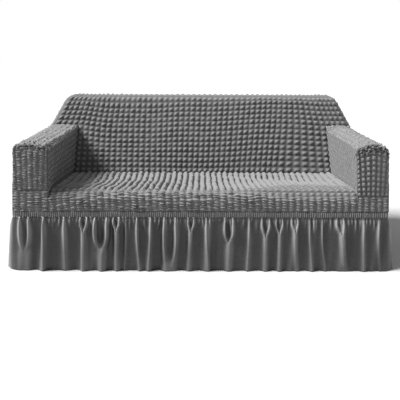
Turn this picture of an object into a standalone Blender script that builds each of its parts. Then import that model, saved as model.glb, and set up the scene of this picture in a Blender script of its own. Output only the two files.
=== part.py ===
"""Fitted stretch slipcover for a sofa: one closed cloth solid for each sewn piece.

Metres. +X is to the right of the front view, +Y to the rear, +Z up. The origin is on the floor
under the middle of the hem. Each solid is a sheet: its outside is built first, from patches that
share their edge points, and its inside is the same surface moved inwards by the cloth's
thickness, so that neighbouring pieces meet in a mitre with a small gap.
"""
import math
import random
from collections import defaultdict, namedtuple

import bpy
import bmesh
import numpy as np

# Sizes of the covered sofa, to the outside of the cloth.
HALF_WIDTH = 0.950          # outside of the arms, at the band
FRONT_Y = -0.440            # seat front and arm fronts
REAR_Y = 0.440              # outside back, at the band
BAND_TOP = 0.305
BAND_BOTTOM = 0.275
ARM_TOP = 0.640
SEAT_FRONT_Z = 0.408        # where the seat rounds over to its front
SEAT_REAR_Z = 0.386         # crease between seat and inside back
CREASE_Y = 0.095
SEAT_ROUND = 0.050
SEAT_SWELL = 0.008          # the deck's middle stands this much proud
BACK_SWELL = 0.010

# The back, as seen from the front: its half width falls from the arm line to a round corner.
JOIN_Z = 0.662              # arm line: the sleeves meet the back here
JOIN_HALF_WIDTH = 0.937
CORNER_Z = 0.790            # the side line ends and the round top corner starts
CORNER_HALF_WIDTH = 0.868
BACK_TOP_Z = 0.838
TOP_HALF_WIDTH = 0.790      # end of the level top edge
INSIDE_TOP = (0.262, 0.811)     # Y and Z of a point on the inside back, near its top
OUTSIDE_TOP = (0.418, 0.811)    # and on the outside back
TOP_ROUND = 0.032           # height of the rounding over the top
SIDE_ROUND = 0.042          # how far the sides of the back round in, across X
SEAM_FOOT_Y = 0.362         # side seam at the band
REAR_CORNER = 0.034         # rounding of the rear corners at the band, across X

ARM_BULGE = 0.007           # the arm fronts stand this much proud of their seams
BULGE_POWER = 0.7           # below 1, the bulge rises quickly at the seams
FILLET = 0.090              # length over which an arm's top climbs to the arm line

# The two arms are not quite alike. Distances from the middle, heights and radii.
Arm = namedtuple("Arm", "name side out_top in_top in_foot seam_z round_out round_in crown rise")
ARMS = (
    Arm("left", -1, 0.934, 0.757, 0.765, 0.415, 0.024, 0.030, 0.004, 0.012),
    Arm("right", 1, 0.936, 0.772, 0.788, 0.387, 0.040, 0.036, 0.012, 0.002),
)

# Cloth.
BUBBLE_CLOTH = 0.003
BAND_CLOTH = 0.004
SKIRT_CLOTH = 0.0016
SEAM_GAP = 0.00022          # each sheet stops this far short of its seam
WELD = 1e-5

TINY = 1e-12                # keeps a division away from zero
STEP_SOFTNESS = 0.22        # nearly flat corners count as flat in an inward step
STEP_LIMIT = 2.2            # an inward step is never longer than this many distances
WELD_SHIFT = 0.137          # keeps round numbers away from the edge of a weld cell

# Mesh steps.
ROUND_STEPS = 4             # even: half of a rounding belongs to each side of a corner
ARM_TOP_STEPS = 4
ARM_SIDE_STEPS = 4
CROWN_STEPS = 3
DECK_STATIONS = (0.17, 0.34, 0.51, 0.67, 0.82, 0.93, 1.0)
MIDDLE_STEPS = 14
UPPER_STEPS = 3
OVER_STEPS = 3

# Band and skirt follow one rounded rectangle.
PLAN_FRONT_RADIUS = 0.016
PLAN_REAR_RADIUS = 0.034
BAND_SWELL = 0.0015
SKIRT_FLARE = 0.018         # the hem stands this much further out than the band
SKIRT_TOP_EASE = 0.0015
BAND_STEP = 0.16            # longest step of the band's columns
SKIRT_LEVELS = (0.0, 0.14, 0.36, 0.66, 1.0)
FOLD_START = 0.40           # share of a fold's depth that it already has at the band
FLANK = 1.1                 # a fold's flank columns stand this many widths from its crest
FULL_VALLEY = 0.045         # a valley wider than this takes two columns
LEAST_STEP = 0.003          # columns stay this far apart

# Folds of the skirt's front, left to right: place at the hem, places at the band (a fork has
# two), share of the height at which a fork has closed, depth at the hem, width of the crest.
Fold = namedtuple("Fold", "hem band fork_end depth width")
FRONT_FOLDS = (
    Fold(-0.966, (-0.958,), 0.0, 0.030, 0.018),
    Fold(-0.894, (-0.912, -0.869), 0.60, 0.030, 0.024),
    Fold(-0.796, (-0.792,), 0.0, 0.027, 0.016),
    Fold(-0.686, (-0.688,), 0.0, 0.020, 0.024),
    Fold(-0.594, (-0.605, -0.574), 0.25, 0.028, 0.016),
    Fold(-0.503, (-0.532, -0.474), 0.60, 0.030, 0.018),
    Fold(-0.422, (-0.438, -0.411), 0.22, 0.027, 0.015),
    Fold(-0.385, (-0.377,), 0.0, 0.010, 0.014),
    Fold(-0.308, (-0.320,), 0.0, 0.026, 0.014),
    Fold(-0.262, (-0.252,), 0.0, 0.026, 0.014),
    Fold(-0.163, (-0.182, -0.126), 0.97, 0.028, 0.016),
    Fold(-0.057, (-0.060, -0.034), 0.25, 0.020, 0.014),
    Fold(0.044, (0.030,), 0.0, 0.020, 0.017),
    Fold(0.141, (0.125, 0.163), 0.45, 0.021, 0.015),
    Fold(0.239, (0.246,), 0.0, 0.017, 0.015),
    Fold(0.330, (0.312, 0.347), 0.35, 0.019, 0.016),
    Fold(0.401, (0.384, 0.413), 0.30, 0.016, 0.014),
    Fold(0.493, (0.462, 0.490), 0.25, 0.018, 0.016),
    Fold(0.569, (0.552,), 0.0, 0.015, 0.014),
    Fold(0.635, (0.615,), 0.0, 0.015, 0.014),
    Fold(0.742, (0.688, 0.721), 0.30, 0.020, 0.018),
    Fold(0.833, (0.824,), 0.0, 0.018, 0.018),
    Fold(0.916, (0.900,), 0.0, 0.014, 0.014),
    Fold(0.968, (0.958,), 0.0, 0.030, 0.018),
)
# The folds that the front view doesn't show follow a rule.
HIDDEN_FOLD_SEED = 11
HIDDEN_FOLD_PITCH = (0.062, 0.112)
HIDDEN_FOLD_DEPTH = (0.010, 0.020)
HIDDEN_FOLD_WIDTH = (0.014, 0.022)
HIDDEN_FORK_SHARE = 0.35
HIDDEN_LEAN = 0.016
HIDDEN_FORK_END = (0.2, 0.7)
HIDDEN_FORK_SPREAD = (0.013, 0.020)
HIDDEN_LAST_GAP = 0.7       # least last pitch, as a share of the least pitch
# How a fold changes from the band down to the hem.
REACH_AT_BAND, REACH_AT_HEM = 0.75, 1.10    # shares of the crest's width
DEPTH_POWER = 0.8
FLARE_POWER = 1.2

COLOURS = {
    "bubble_cloth": (0.105, 0.108, 0.112, 1.0),
    "band_cloth": (0.085, 0.088, 0.092, 1.0),
    "skirt_cloth": (0.075, 0.078, 0.082, 1.0),
}
ROUGHNESS = 0.85
SHARP_ANGLE = math.radians(50)


def lerp(a, b, share):
    """Value a share of the way from a to b."""
    return a + (b - a) * share


def clamp(value, low=0.0, high=1.0):
    """Value kept between low and high."""
    return max(low, min(high, value))


# ---------------------------------------------------------------- shape of the covered sofa

def inside_back_y(z):
    """Front face of the back at height z: a plane that leans to the rear."""
    top_y, top_z = INSIDE_TOP
    return lerp(CREASE_Y, top_y, (z - SEAT_REAR_Z) / (top_z - SEAT_REAR_Z))


def outside_back_y(z):
    """Rear face of the back at height z."""
    top_y, top_z = OUTSIDE_TOP
    return lerp(REAR_Y, top_y, (z - BAND_TOP) / (top_z - BAND_TOP))


def back_half_width(z):
    """Half width of the back above the arm line: a straight side, then a round corner."""
    if z <= CORNER_Z:
        return lerp(JOIN_HALF_WIDTH, CORNER_HALF_WIDTH, (z - JOIN_Z) / (CORNER_Z - JOIN_Z))
    slope = (CORNER_HALF_WIDTH - JOIN_HALF_WIDTH) / (CORNER_Z - JOIN_Z)
    knee = CORNER_HALF_WIDTH + slope * (BACK_TOP_Z - CORNER_Z)
    left = math.sqrt(clamp((BACK_TOP_Z - z) / (BACK_TOP_Z - CORNER_Z)))
    gone = 1.0 - left
    return CORNER_HALF_WIDTH * left**2 + 2 * knee * left * gone + TOP_HALF_WIDTH * gone**2


def seam_point(share):
    """Side seam (half width, y, z), from the band (0) to the arm line (1)."""
    z = lerp(BAND_TOP, JOIN_Z, share)
    join_y = (inside_back_y(JOIN_Z) + outside_back_y(JOIN_Z)) / 2
    return lerp(HALF_WIDTH, JOIN_HALF_WIDTH, share), lerp(SEAM_FOOT_Y, join_y, share), z


def side_rounding(x, half_width, rounding):
    """How much of its depth the back still has at x: 1 on the face, 0 at the side seam."""
    inset = clamp((abs(x) - (half_width - rounding)) / rounding)
    return math.sqrt(max(0.0, 1.0 - inset * inset))


def back_swell(x, z):
    """How far the padded inside back stands proud of its plane."""
    across = max(0.0, 1.0 - (x / min(arm.in_top for arm in ARMS)) ** 2)
    up = clamp((z - SEAT_REAR_Z) / (INSIDE_TOP[1] - SEAT_REAR_Z))
    return BACK_SWELL * across * math.sin(math.pi * up)


def upper_back_point(x, z, over, facing):
    """Point of the back above the arm line.

    over is 1 on the upright faces and falls to 0 on the ridge of the top; facing is -1 on the
    inside face and 1 on the outside face.
    """
    middle = (inside_back_y(z) + outside_back_y(z)) / 2
    half_depth = (outside_back_y(z) - inside_back_y(z)) / 2
    depth = half_depth * side_rounding(x, back_half_width(z), SIDE_ROUND) * over
    swell = back_swell(x, z) * over if facing < 0 else 0.0
    return x, middle + facing * (depth + swell), z


def seat_profile():
    """Side view of the seat as (y, z), from the foot of the crown to the rear crease."""
    rows = []
    for step in range(CROWN_STEPS + 1):
        angle = math.pi / 2 * step / CROWN_STEPS
        rows.append((FRONT_Y + SEAT_ROUND * (1 - math.cos(angle)),
                     SEAT_FRONT_Z - SEAT_ROUND * (1 - math.sin(angle))))
    for share in DECK_STATIONS:
        rows.append((lerp(FRONT_Y + SEAT_ROUND, CREASE_Y, share),
                     lerp(SEAT_FRONT_Z, SEAT_REAR_Z, share)))
    return rows


CROWN_FOOT_Z = SEAT_FRONT_Z - SEAT_ROUND


def arm_section(arm):
    """Front outline of an arm as (distance from the middle, z) in five runs that share ends."""
    def arc(centre_x, radius, start):
        points = []
        for step in range(ROUND_STEPS + 1):
            angle = start + math.pi / 2 * step / ROUND_STEPS
            points.append((centre_x + radius * math.cos(angle),
                           ARM_TOP - radius + radius * math.sin(angle)))
        return points

    shoulder = ARM_TOP - arm.round_out
    outer = []
    for z in side_heights(arm, arm.round_out):
        share = (z - BAND_TOP) / (shoulder - BAND_TOP)
        outer.append((lerp(HALF_WIDTH, arm.out_top, share), z))
    outer_arc = arc(arm.out_top - arm.round_out, arm.round_out, 0.0)
    inner_arc = arc(arm.in_top + arm.round_in, arm.round_in, math.pi / 2)
    top = []
    for step in range(ARM_TOP_STEPS + 1):
        share = step / ARM_TOP_STEPS
        top.append((lerp(outer_arc[-1][0], inner_arc[0][0], share),
                    ARM_TOP + arm.crown * math.sin(math.pi * share)))
    inner = []
    heights = side_heights(arm, arm.round_in)[1:]
    for z in reversed(heights):
        share = (z - CROWN_FOOT_Z) / (heights[-1] - CROWN_FOOT_Z)
        inner.append((lerp(arm.in_foot, arm.in_top, share), z))
    return outer, outer_arc, top, inner_arc, inner


def front_ceiling(arm):
    """Top edge of an arm front, from its outer side to its inner side, and the shares along."""
    _, outer_arc, top, inner_arc, _ = arm_section(arm)
    ceiling = joined(outer_arc, top, inner_arc)
    return ceiling, shares_along(ceiling)


def side_heights(arm, rounding):
    """Heights of the points up an arm's front edge: band, crown foot, seam, then even steps."""
    heights = [BAND_TOP, CROWN_FOOT_Z]
    for step in range(ARM_SIDE_STEPS + 1):
        heights.append(lerp(arm.seam_z, ARM_TOP - rounding, step / ARM_SIDE_STEPS))
    return heights


def joined(*runs):
    """One run of points from runs that share their end points."""
    points = list(runs[0])
    for run in runs[1:]:
        points.extend(run[1:])
    return points


def shares_along(points):
    """Distance of each point along its run, as a share of the whole."""
    lengths = [0.0]
    for a, b in zip(points, points[1:]):
        lengths.append(lengths[-1] + math.dist(a, b))
    return [length / lengths[-1] for length in lengths]


def sleeve_rear(arm):
    """Where each line of a sleeve ends: side seam, arm line, then the crease on the back."""
    outer, outer_arc, top, inner_arc, inner = arm_section(arm)
    half = ROUND_STEPS // 2
    up_run = joined(outer, outer_arc[:half + 1])
    over_run = joined(outer_arc[half:], top, inner_arc[:half + 1])
    down_run = joined(inner_arc[half:], inner)
    ends = [seam_point(share) for share in shares_along(up_run)]
    for share in shares_along(over_run)[1:]:
        x = lerp(JOIN_HALF_WIDTH, arm.in_top, share)
        ends.append(upper_back_point(x, JOIN_Z, 1.0, -1))
    for share in shares_along(down_run)[1:]:
        z = lerp(JOIN_Z, SEAT_REAR_Z, share)
        ends.append((lerp(arm.in_top, arm.in_foot, share), inside_back_y(z), z))
    return ends


def sleeve_patch(arm):
    """Outside arm, arm top and inside arm: one line of points for each point of the section."""
    runs = arm_section(arm)
    section = joined(*runs)
    ends = sleeve_rear(arm)
    inner_start = len(section) - len(runs[-1])
    seat = seat_profile()
    lines = []
    for index, ((x, z), end) in enumerate(zip(section, ends)):
        line = []
        for seat_y, _ in seat:
            share = (seat_y - FRONT_Y) / (CREASE_Y - FRONT_Y)
            y = lerp(FRONT_Y, end[1], share)
            climb = clamp(1.0 - (end[1] - y) / FILLET) ** 2
            height = z + arm.rise * share * (1 - climb) + (end[2] - z) * climb
            line.append([arm.side * lerp(x, end[0], share), y, height])
        lines.append(line)
    # The inside arm's lines fan out between its upper edge and the seat below it.
    upper = lines[inner_start]
    section_inner = section[inner_start:]
    for offset, (_, z) in enumerate(section_inner):
        line = lines[inner_start + offset]
        front_share = (section_inner[0][1] - z) / (section_inner[0][1] - section_inner[-1][1])
        rear_span = ends[inner_start][2] - SEAT_REAR_Z
        rear_share = (ends[inner_start][2] - ends[inner_start + offset][2]) / rear_span
        for point, top_point, (seat_y, seat_z) in zip(line, upper, seat):
            share = (seat_y - FRONT_Y) / (CREASE_Y - FRONT_Y)
            point[2] = lerp(top_point[2], seat_z, lerp(front_share, rear_share, share))
    return lines


def arm_front_patch(arm):
    """Upright panel in front of an arm, crowned forwards between its seams."""
    outer, *_, inner = arm_section(arm)
    floor_out, floor_in = outer[2], inner[-2]
    columns = []
    for (top_x, top_z), share in zip(*front_ceiling(arm)):
        column = []
        foot_x = lerp(floor_out[0], floor_in[0], share)
        for step in range(ARM_SIDE_STEPS + 1):
            up = step / ARM_SIDE_STEPS
            x = lerp(foot_x, top_x, up)
            z = lerp(arm.seam_z, top_z, up)
            bulge = math.sin(math.pi * share) * math.sin(math.pi * up)
            column.append((arm.side * x, FRONT_Y - ARM_BULGE * max(0.0, bulge) ** BULGE_POWER, z))
        columns.append(column)
    return columns


def middle_columns():
    """Columns across the seat and inside back, as shares from the left arm to the right."""
    return [step / MIDDLE_STEPS for step in range(MIDDLE_STEPS + 1)]


def seat_patches():
    """Seat deck with its front, then the wing that runs on below each arm front."""
    left, right = ARMS
    profile = [(FRONT_Y, BAND_TOP)] + seat_profile()
    deck = []
    for y, z in profile:
        row = []
        along = clamp((y - FRONT_Y) / (CREASE_Y - FRONT_Y))
        for share in middle_columns():
            x = lerp(-left.in_foot, right.in_foot, share)
            across = 4 * share * (1 - share)
            row.append((x, y, z + SEAT_SWELL * across * math.sin(math.pi * along)))
        deck.append(row)
    wings = []
    for arm in ARMS:
        outer, *_, inner = arm_section(arm)
        _, shares = front_ceiling(arm)
        inner_edge = [(inner[-1][0], BAND_TOP), inner[-1], inner[-2]]
        wing = []
        for (out_x, z), (in_x, _) in zip(outer[:3], inner_edge):
            wing.append([(arm.side * lerp(out_x, in_x, share), FRONT_Y, z) for share in shares])
        wings.append(wing)
    return deck, wings


def back_patches():
    """Lower and upper grids of the inside back, then of the outside back.

    The two panels are sewn together along the ridge of the top and down the sides.
    """
    left, right = ARMS
    half = ROUND_STEPS // 2
    inside = []
    left_edge = sleeve_rear(left)[-(ARM_SIDE_STEPS + 2 + half):]
    right_edge = sleeve_rear(right)[-(ARM_SIDE_STEPS + 2 + half):]
    for low, high in zip(reversed(left_edge), reversed(right_edge)):
        row = []
        for share in middle_columns():
            x = lerp(-low[0], high[0], share)
            z = lerp(low[2], high[2], share)
            row.append((x, inside_back_y(z) - back_swell(x, z), z))
        inside.append(row)

    shoulder_count = 2 * half + ARM_TOP_STEPS + 1
    start = len(arm_section(left)[0]) - 1 + half
    left_line = [-point[0] for point in sleeve_rear(left)[start:start + shoulder_count]]
    right_line = [point[0] for point in sleeve_rear(right)[start:start + shoulder_count]]
    across = left_line[:-1]
    across += [lerp(-left.in_top, right.in_top, share) for share in middle_columns()]
    across += list(reversed(right_line))[1:]

    def upper_row(z, over, facing):
        drawn_in = JOIN_HALF_WIDTH - back_half_width(z)
        row = []
        for x in across:
            pull = drawn_in * (abs(x) / JOIN_HALF_WIDTH) ** 3
            row.append(upper_back_point(x - math.copysign(pull, x), z, over, facing))
        return row

    levels = [(lerp(JOIN_Z, BACK_TOP_Z - TOP_ROUND, step / UPPER_STEPS), 1.0)
              for step in range(UPPER_STEPS)]
    for step in range(OVER_STEPS + 1):
        angle = math.pi / 2 * step / OVER_STEPS
        levels.append((BACK_TOP_Z - TOP_ROUND * (1 - math.sin(angle)), math.cos(angle)))
    inside_upper = [upper_row(z, over, -1) for z, over in levels]
    outside_upper = [upper_row(z, over, 1) for z, over in levels]

    seam_shares = []
    for arm in ARMS:
        run = joined(arm_section(arm)[0], arm_section(arm)[1][:half + 1])
        seam_shares.append(shares_along(run))
    outside = []
    for low, high in zip(reversed(seam_shares[0]), reversed(seam_shares[1])):
        row = []
        for x in across:
            share = lerp(low, high, (x + JOIN_HALF_WIDTH) / (2 * JOIN_HALF_WIDTH))
            half_width, seam_y, z = seam_point(share)
            wide_x = x * half_width / JOIN_HALF_WIDTH
            rounding = lerp(REAR_CORNER, SIDE_ROUND, share)
            depth = (outside_back_y(z) - seam_y) * side_rounding(wide_x, half_width, rounding)
            row.append((wide_x, seam_y + depth, z))
        outside.append(row)
    return (inside, inside_upper), (outside, outside_upper)


# ---------------------------------------------------------------- sheets from patches

class Cloth:
    """Points and faces of joined patches, each face labelled with its piece."""

    def __init__(self):
        self.points = []
        self.index = {}
        self.faces = []

    def vertex(self, point):
        """Index of a point, shared with any point at the same place."""
        key = tuple(int(round(value / WELD + WELD_SHIFT)) for value in point)
        if key not in self.index:
            self.index[key] = len(self.points)
            self.points.append(tuple(point))
        return self.index[key]

    def patch(self, piece, grid, outward):
        """Add a grid of points, turned so that its middle face looks along outward."""
        rows = [[self.vertex(point) for point in row] for row in grid]
        middle, centre = len(grid) // 2, len(grid[0]) // 2
        a, b, d = (np.array(grid[r][c]) for r, c in
                   ((middle - 1, centre - 1), (middle - 1, centre), (middle, centre - 1)))
        flip = np.dot(np.cross(b - a, d - a), outward) < 0
        for row, above in zip(rows, rows[1:]):
            for c in range(len(row) - 1):
                face = [row[c], row[c + 1], above[c + 1], above[c]]
                face = [v for i, v in enumerate(face) if v != face[i - 1]]
                if len(face) > 2:
                    self.faces.append((piece, face[::-1] if flip else face))


def face_normal(points, face):
    """Unit normal of a face."""
    corners = [points[v] for v in face]
    if len(corners) == 3:
        normal = np.cross(corners[1] - corners[0], corners[2] - corners[0])
    else:
        normal = np.cross(corners[2] - corners[0], corners[3] - corners[1])
    return normal / (np.linalg.norm(normal) + TINY)


def even_step(directions, distance):
    """The shortest move that goes the same distance along every given direction."""
    rows = np.array(directions)
    move = np.linalg.pinv(rows, rcond=STEP_SOFTNESS) @ np.full(len(rows), distance)
    length = np.linalg.norm(move)
    return move * min(1.0, STEP_LIMIT * distance / (length + TINY))


def sheet_meshes(cloth, thickness, level_heights):
    """Closed sheets, one for each piece: outside, inside and edge walls.

    At the level heights the inside stays level with the outside, so that a cut edge is flat.
    Returns a dict of piece name to (points, faces).
    """
    points = np.array(cloth.points)
    normals = [face_normal(points, face) for _, face in cloth.faces]
    around = defaultdict(list)
    for (_, face), normal in zip(cloth.faces, normals):
        for v in face:
            around[v].append(normal)
    inward = np.zeros_like(points)
    for v, found in around.items():
        move = even_step(found, thickness)
        if any(abs(points[v][2] - height) < WELD for height in level_heights):
            move[2] = 0.0
        inward[v] = -move

    pieces = defaultdict(list)
    for (piece, face), normal in zip(cloth.faces, normals):
        pieces[piece].append((face, normal))
    meshes = {}
    for piece, faces in pieces.items():
        edges = {}
        for face, normal in faces:
            for i, v in enumerate(face):
                edges[(v, face[(i + 1) % len(face)])] = normal
        rim = {edge: normal for edge, normal in edges.items() if edge[::-1] not in edges}
        pulls = defaultdict(list)
        for (a, b), normal in rim.items():
            side = np.cross(normal, points[b] - points[a])
            side /= np.linalg.norm(side)
            pulls[a].append(side)
            pulls[b].append(side)
        used = sorted({v for face, _ in faces for v in face})
        place = {v: i for i, v in enumerate(used)}
        count = len(used)
        outer = points[used]
        for v, sides in pulls.items():
            outer[place[v]] = outer[place[v]] + even_step(sides, SEAM_GAP)
        inner = outer + inward[used]
        solid = [[place[v] for v in face] for face, _ in faces]
        solid += [[place[v] + count for v in reversed(face)] for face, _ in faces]
        for a, b in rim:
            solid.append([place[b], place[a], place[a] + count, place[b] + count])
        meshes[piece] = (np.vstack([outer, inner]), solid)
    return meshes


# ---------------------------------------------------------------- band and skirt

def plan_length():
    """Length of the rounded rectangle that the band follows."""
    return sum(length for length, _ in plan_runs())


def plan_runs():
    """Runs of the outline from the middle of the front: (length, function of the distance)."""
    depth_front = -FRONT_Y
    runs = []

    def straight(x, y, dx, dy, length):
        return length, lambda s: (x + dx * s, y + dy * s, dy, -dx)

    def corner(cx, cy, radius, start):
        def at(s):
            angle = start + s / radius
            return (cx + radius * math.cos(angle), cy + radius * math.sin(angle),
                    math.cos(angle), math.sin(angle))
        return radius * math.pi / 2, at

    front, rear = PLAN_FRONT_RADIUS, PLAN_REAR_RADIUS
    side = depth_front + REAR_Y - front - rear
    runs.append(straight(0, FRONT_Y, 1, 0, HALF_WIDTH - front))
    runs.append(corner(HALF_WIDTH - front, FRONT_Y + front, front, -math.pi / 2))
    runs.append(straight(HALF_WIDTH, FRONT_Y + front, 0, 1, side))
    runs.append(corner(HALF_WIDTH - rear, REAR_Y - rear, rear, 0.0))
    runs.append(straight(HALF_WIDTH - rear, REAR_Y, -1, 0, 2 * (HALF_WIDTH - rear)))
    runs.append(corner(-HALF_WIDTH + rear, REAR_Y - rear, rear, math.pi / 2))
    runs.append(straight(-HALF_WIDTH, REAR_Y - rear, 0, -1, side))
    runs.append(corner(-HALF_WIDTH + front, FRONT_Y + front, front, math.pi))
    runs.append(straight(-HALF_WIDTH + front, FRONT_Y, 1, 0, HALF_WIDTH - front))
    return runs


def plan_point(distance, offset):
    """Point (x, y) that far round the outline from the middle of the front, moved outwards."""
    left = distance % plan_length()
    for length, at in plan_runs():
        if left <= length:
            x, y, nx, ny = at(left)
            return x + nx * offset, y + ny * offset
        left -= length
    x, y, nx, ny = plan_runs()[0][1](0.0)
    return x + nx * offset, y + ny * offset


Ridge = namedtuple("Ridge", "band hem bend depth width")


def all_folds():
    """Folds all the way round: the listed ones in front, then seeded ones on sides and back."""
    folds = list(FRONT_FOLDS)
    draw = random.Random(HIDDEN_FOLD_SEED)
    end = plan_length() + FRONT_FOLDS[0].hem
    place = FRONT_FOLDS[-1].hem + HIDDEN_FOLD_PITCH[0]
    while place < end - HIDDEN_FOLD_PITCH[0] * HIDDEN_LAST_GAP:
        depth = draw.uniform(*HIDDEN_FOLD_DEPTH)
        width = draw.uniform(*HIDDEN_FOLD_WIDTH)
        lean = draw.uniform(-HIDDEN_LEAN, HIDDEN_LEAN)
        forked = draw.random() < HIDDEN_FORK_SHARE
        close = draw.uniform(*HIDDEN_FORK_END)
        spread = draw.uniform(*HIDDEN_FORK_SPREAD)
        band = (place + lean - spread, place + lean + spread) if forked else (place + lean,)
        folds.append(Fold(place, band, close if forked else 0.0, depth, width))
        place += draw.uniform(*HIDDEN_FOLD_PITCH)
    return folds


def fold_ridges(folds):
    """One ridge for each branch of each fold, in order round the outline, in groups."""
    groups = []
    for fold in folds:
        group = []
        for branch, band in enumerate(fold.band):
            aside = (branch - 0.5) * fold.width * 0.5 if len(fold.band) > 1 else 0.0
            bend = fold.fork_end if fold.fork_end else 1.0
            group.append(Ridge(band, fold.hem + aside, bend, fold.depth, fold.width))
        groups.append(group)
    return groups


def ridge_place(ridge, down):
    """Where a ridge is, at a share of the height from the band (0) to the hem (1)."""
    share = clamp(down / ridge.bend)
    return lerp(ridge.band, ridge.hem, share * share * (3 - 2 * share))


def skirt_offset(ridges, distance, down):
    """How far the skirt stands out from the band's outline."""
    round_length = plan_length()
    total = 0.0
    for ridge in ridges:
        apart = distance - ridge_place(ridge, down)
        apart -= round_length * round(apart / round_length)
        reach = ridge.width * lerp(REACH_AT_BAND, REACH_AT_HEM, down)
        if abs(apart) > 4 * reach:
            continue
        depth = ridge.depth * lerp(FOLD_START, 1.0, down ** DEPTH_POWER)
        total += (depth * math.exp(-(apart / reach) ** 2)) ** 4
    return SKIRT_TOP_EASE + SKIRT_FLARE * down ** FLARE_POWER + total ** 0.25


def skirt_columns(groups, down):
    """Places of the mesh columns at one height: crests, their flanks, and the valleys."""
    columns = []
    round_length = plan_length()
    for index, group in enumerate(groups):
        places = [ridge_place(ridge, down) for ridge in group]
        flank = FLANK * group[0].width
        columns.append(places[0] - flank)
        columns.append(places[0])
        if len(places) > 1:
            columns.append((places[0] + places[-1]) / 2)
            columns.append(places[-1])
        columns.append(places[-1] + flank)
        follower = groups[(index + 1) % len(groups)]
        follow_band = follower[0].hem - FLANK * follower[0].width
        follow = ridge_place(follower[0], down) - FLANK * follower[0].width
        lap = round_length if index == len(groups) - 1 else 0.0
        steps = 3 if follow_band + lap - group[-1].hem - flank > FULL_VALLEY else 2
        for step in range(1, steps):
            columns.append(lerp(columns[-1], follow + lap, 1 / (steps - step + 1)))
    for i in range(1, len(columns)):
        columns[i] = max(columns[i], columns[i - 1] + LEAST_STEP)
    return columns


def skirt_rings():
    """Rings of the skirt's outside, from the band to the hem."""
    groups = fold_ridges(all_folds())
    ridges = [ridge for group in groups for ridge in group]
    rings = []
    for down in SKIRT_LEVELS:
        ring = []
        z = BAND_BOTTOM * (1 - down)
        for distance in skirt_columns(groups, down):
            x, y = plan_point(distance, skirt_offset(ridges, distance, down))
            ring.append((x, y, z))
        rings.append(ring)
    return rings


def band_rings():
    """Rings of the band's outside: a shallow swell between its two seams."""
    places = []
    done = 0.0
    for length, _ in plan_runs():
        pieces = max(3, round(length / BAND_STEP))
        places += [done + length * i / pieces for i in range(pieces)]
        done += length
    rings = []
    for z, swell in ((BAND_TOP, 0.0), ((BAND_TOP + BAND_BOTTOM) / 2, BAND_SWELL),
                     (BAND_BOTTOM, 0.0)):
        rings.append([(*plan_point(place, swell), z) for place in places])
    return rings


# ---------------------------------------------------------------- objects

def make_material(name):
    """Principled material of one of the cloths."""
    material = bpy.data.materials.new(name)
    material.use_nodes = True
    shader = material.node_tree.nodes["Principled BSDF"]
    shader.inputs["Base Color"].default_value = COLOURS[name]
    shader.inputs["Roughness"].default_value = ROUGHNESS
    shader.inputs["Metallic"].default_value = 0.0
    material.diffuse_color = COLOURS[name]
    return material


def make_object(name, points, faces, material):
    """Mesh object of one closed sheet."""
    mesh = bpy.data.meshes.new(name)
    mesh.from_pydata([tuple(map(float, point)) for point in points], [], faces)
    mesh.materials.append(material)
    solid = bmesh.new()
    solid.from_mesh(mesh)
    bmesh.ops.triangulate(solid, faces=solid.faces, quad_method="SHORT_EDGE")
    solid.to_mesh(mesh)
    solid.free()
    mesh.shade_smooth()
    mesh.set_sharp_from_angle(angle=SHARP_ANGLE)
    item = bpy.data.objects.new(name, mesh)
    bpy.context.scene.collection.objects.link(item)
    return item


def build_bubble_cloth(material):
    """Seat, back, sleeves and arm fronts."""
    cloth = Cloth()
    up, forward, rearward = (0, 0, 1), (0, -1, 0), (0, 1, 0)
    for arm in ARMS:
        cloth.patch(f"arm_{arm.name}", sleeve_patch(arm), up)
        cloth.patch(f"arm_front_{arm.name}", arm_front_patch(arm), forward)
    deck, wings = seat_patches()
    cloth.patch("seat_panel", deck, up)
    for wing in wings:
        cloth.patch("seat_panel", wing, forward)
    inside, outside = back_patches()
    for patch in inside:
        cloth.patch("back_inside", patch, forward)
    for patch in outside:
        cloth.patch("back_outside", patch, rearward)
    for name, (points, faces) in sheet_meshes(cloth, BUBBLE_CLOTH, {BAND_TOP}).items():
        make_object(name, points, faces, material)


def build_ring(name, rings, thickness, material):
    """Band or skirt: a closed ring of cloth, its rings listed from the top down."""
    cloth = Cloth()
    grid = [ring + [ring[0]] for ring in rings]
    x, y, _ = grid[0][len(grid[0]) // 2]
    cloth.patch(name, grid, (x, y, 0))
    flat_edges = {rings[0][0][2], rings[-1][0][2]}
    points, faces = sheet_meshes(cloth, thickness, flat_edges)[name]
    make_object(name, points, faces, material)


def main():
    """Clear the scene and build every piece."""
    for item in list(bpy.data.objects):
        bpy.data.objects.remove(item, do_unlink=True)
    build_bubble_cloth(make_material("bubble_cloth"))
    build_ring("waistband", band_rings(), BAND_CLOTH, make_material("band_cloth"))
    build_ring("skirt", skirt_rings(), SKIRT_CLOTH, make_material("skirt_cloth"))


main()
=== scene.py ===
"""Looks of a fitted sofa slipcover: puffed bubble cloth, shirred band and gathered skirt.

Every cloth is first laid as a fine grid over the shape of the covered sofa, with cloth
coordinates counted in puffs. Geometry Nodes then raise the puffs of the bubble cloth and the
ribs of the band. The folds, pleats and hem line of the skirt are worked into its grid.
"""
import logging
import math
import random
from collections.abc import Callable, Sequence
from dataclasses import dataclass, field
from enum import Enum
from typing import ClassVar

import bpy
import numpy as np
from mathutils import Matrix, Vector
from mathutils.kdtree import KDTree


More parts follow.
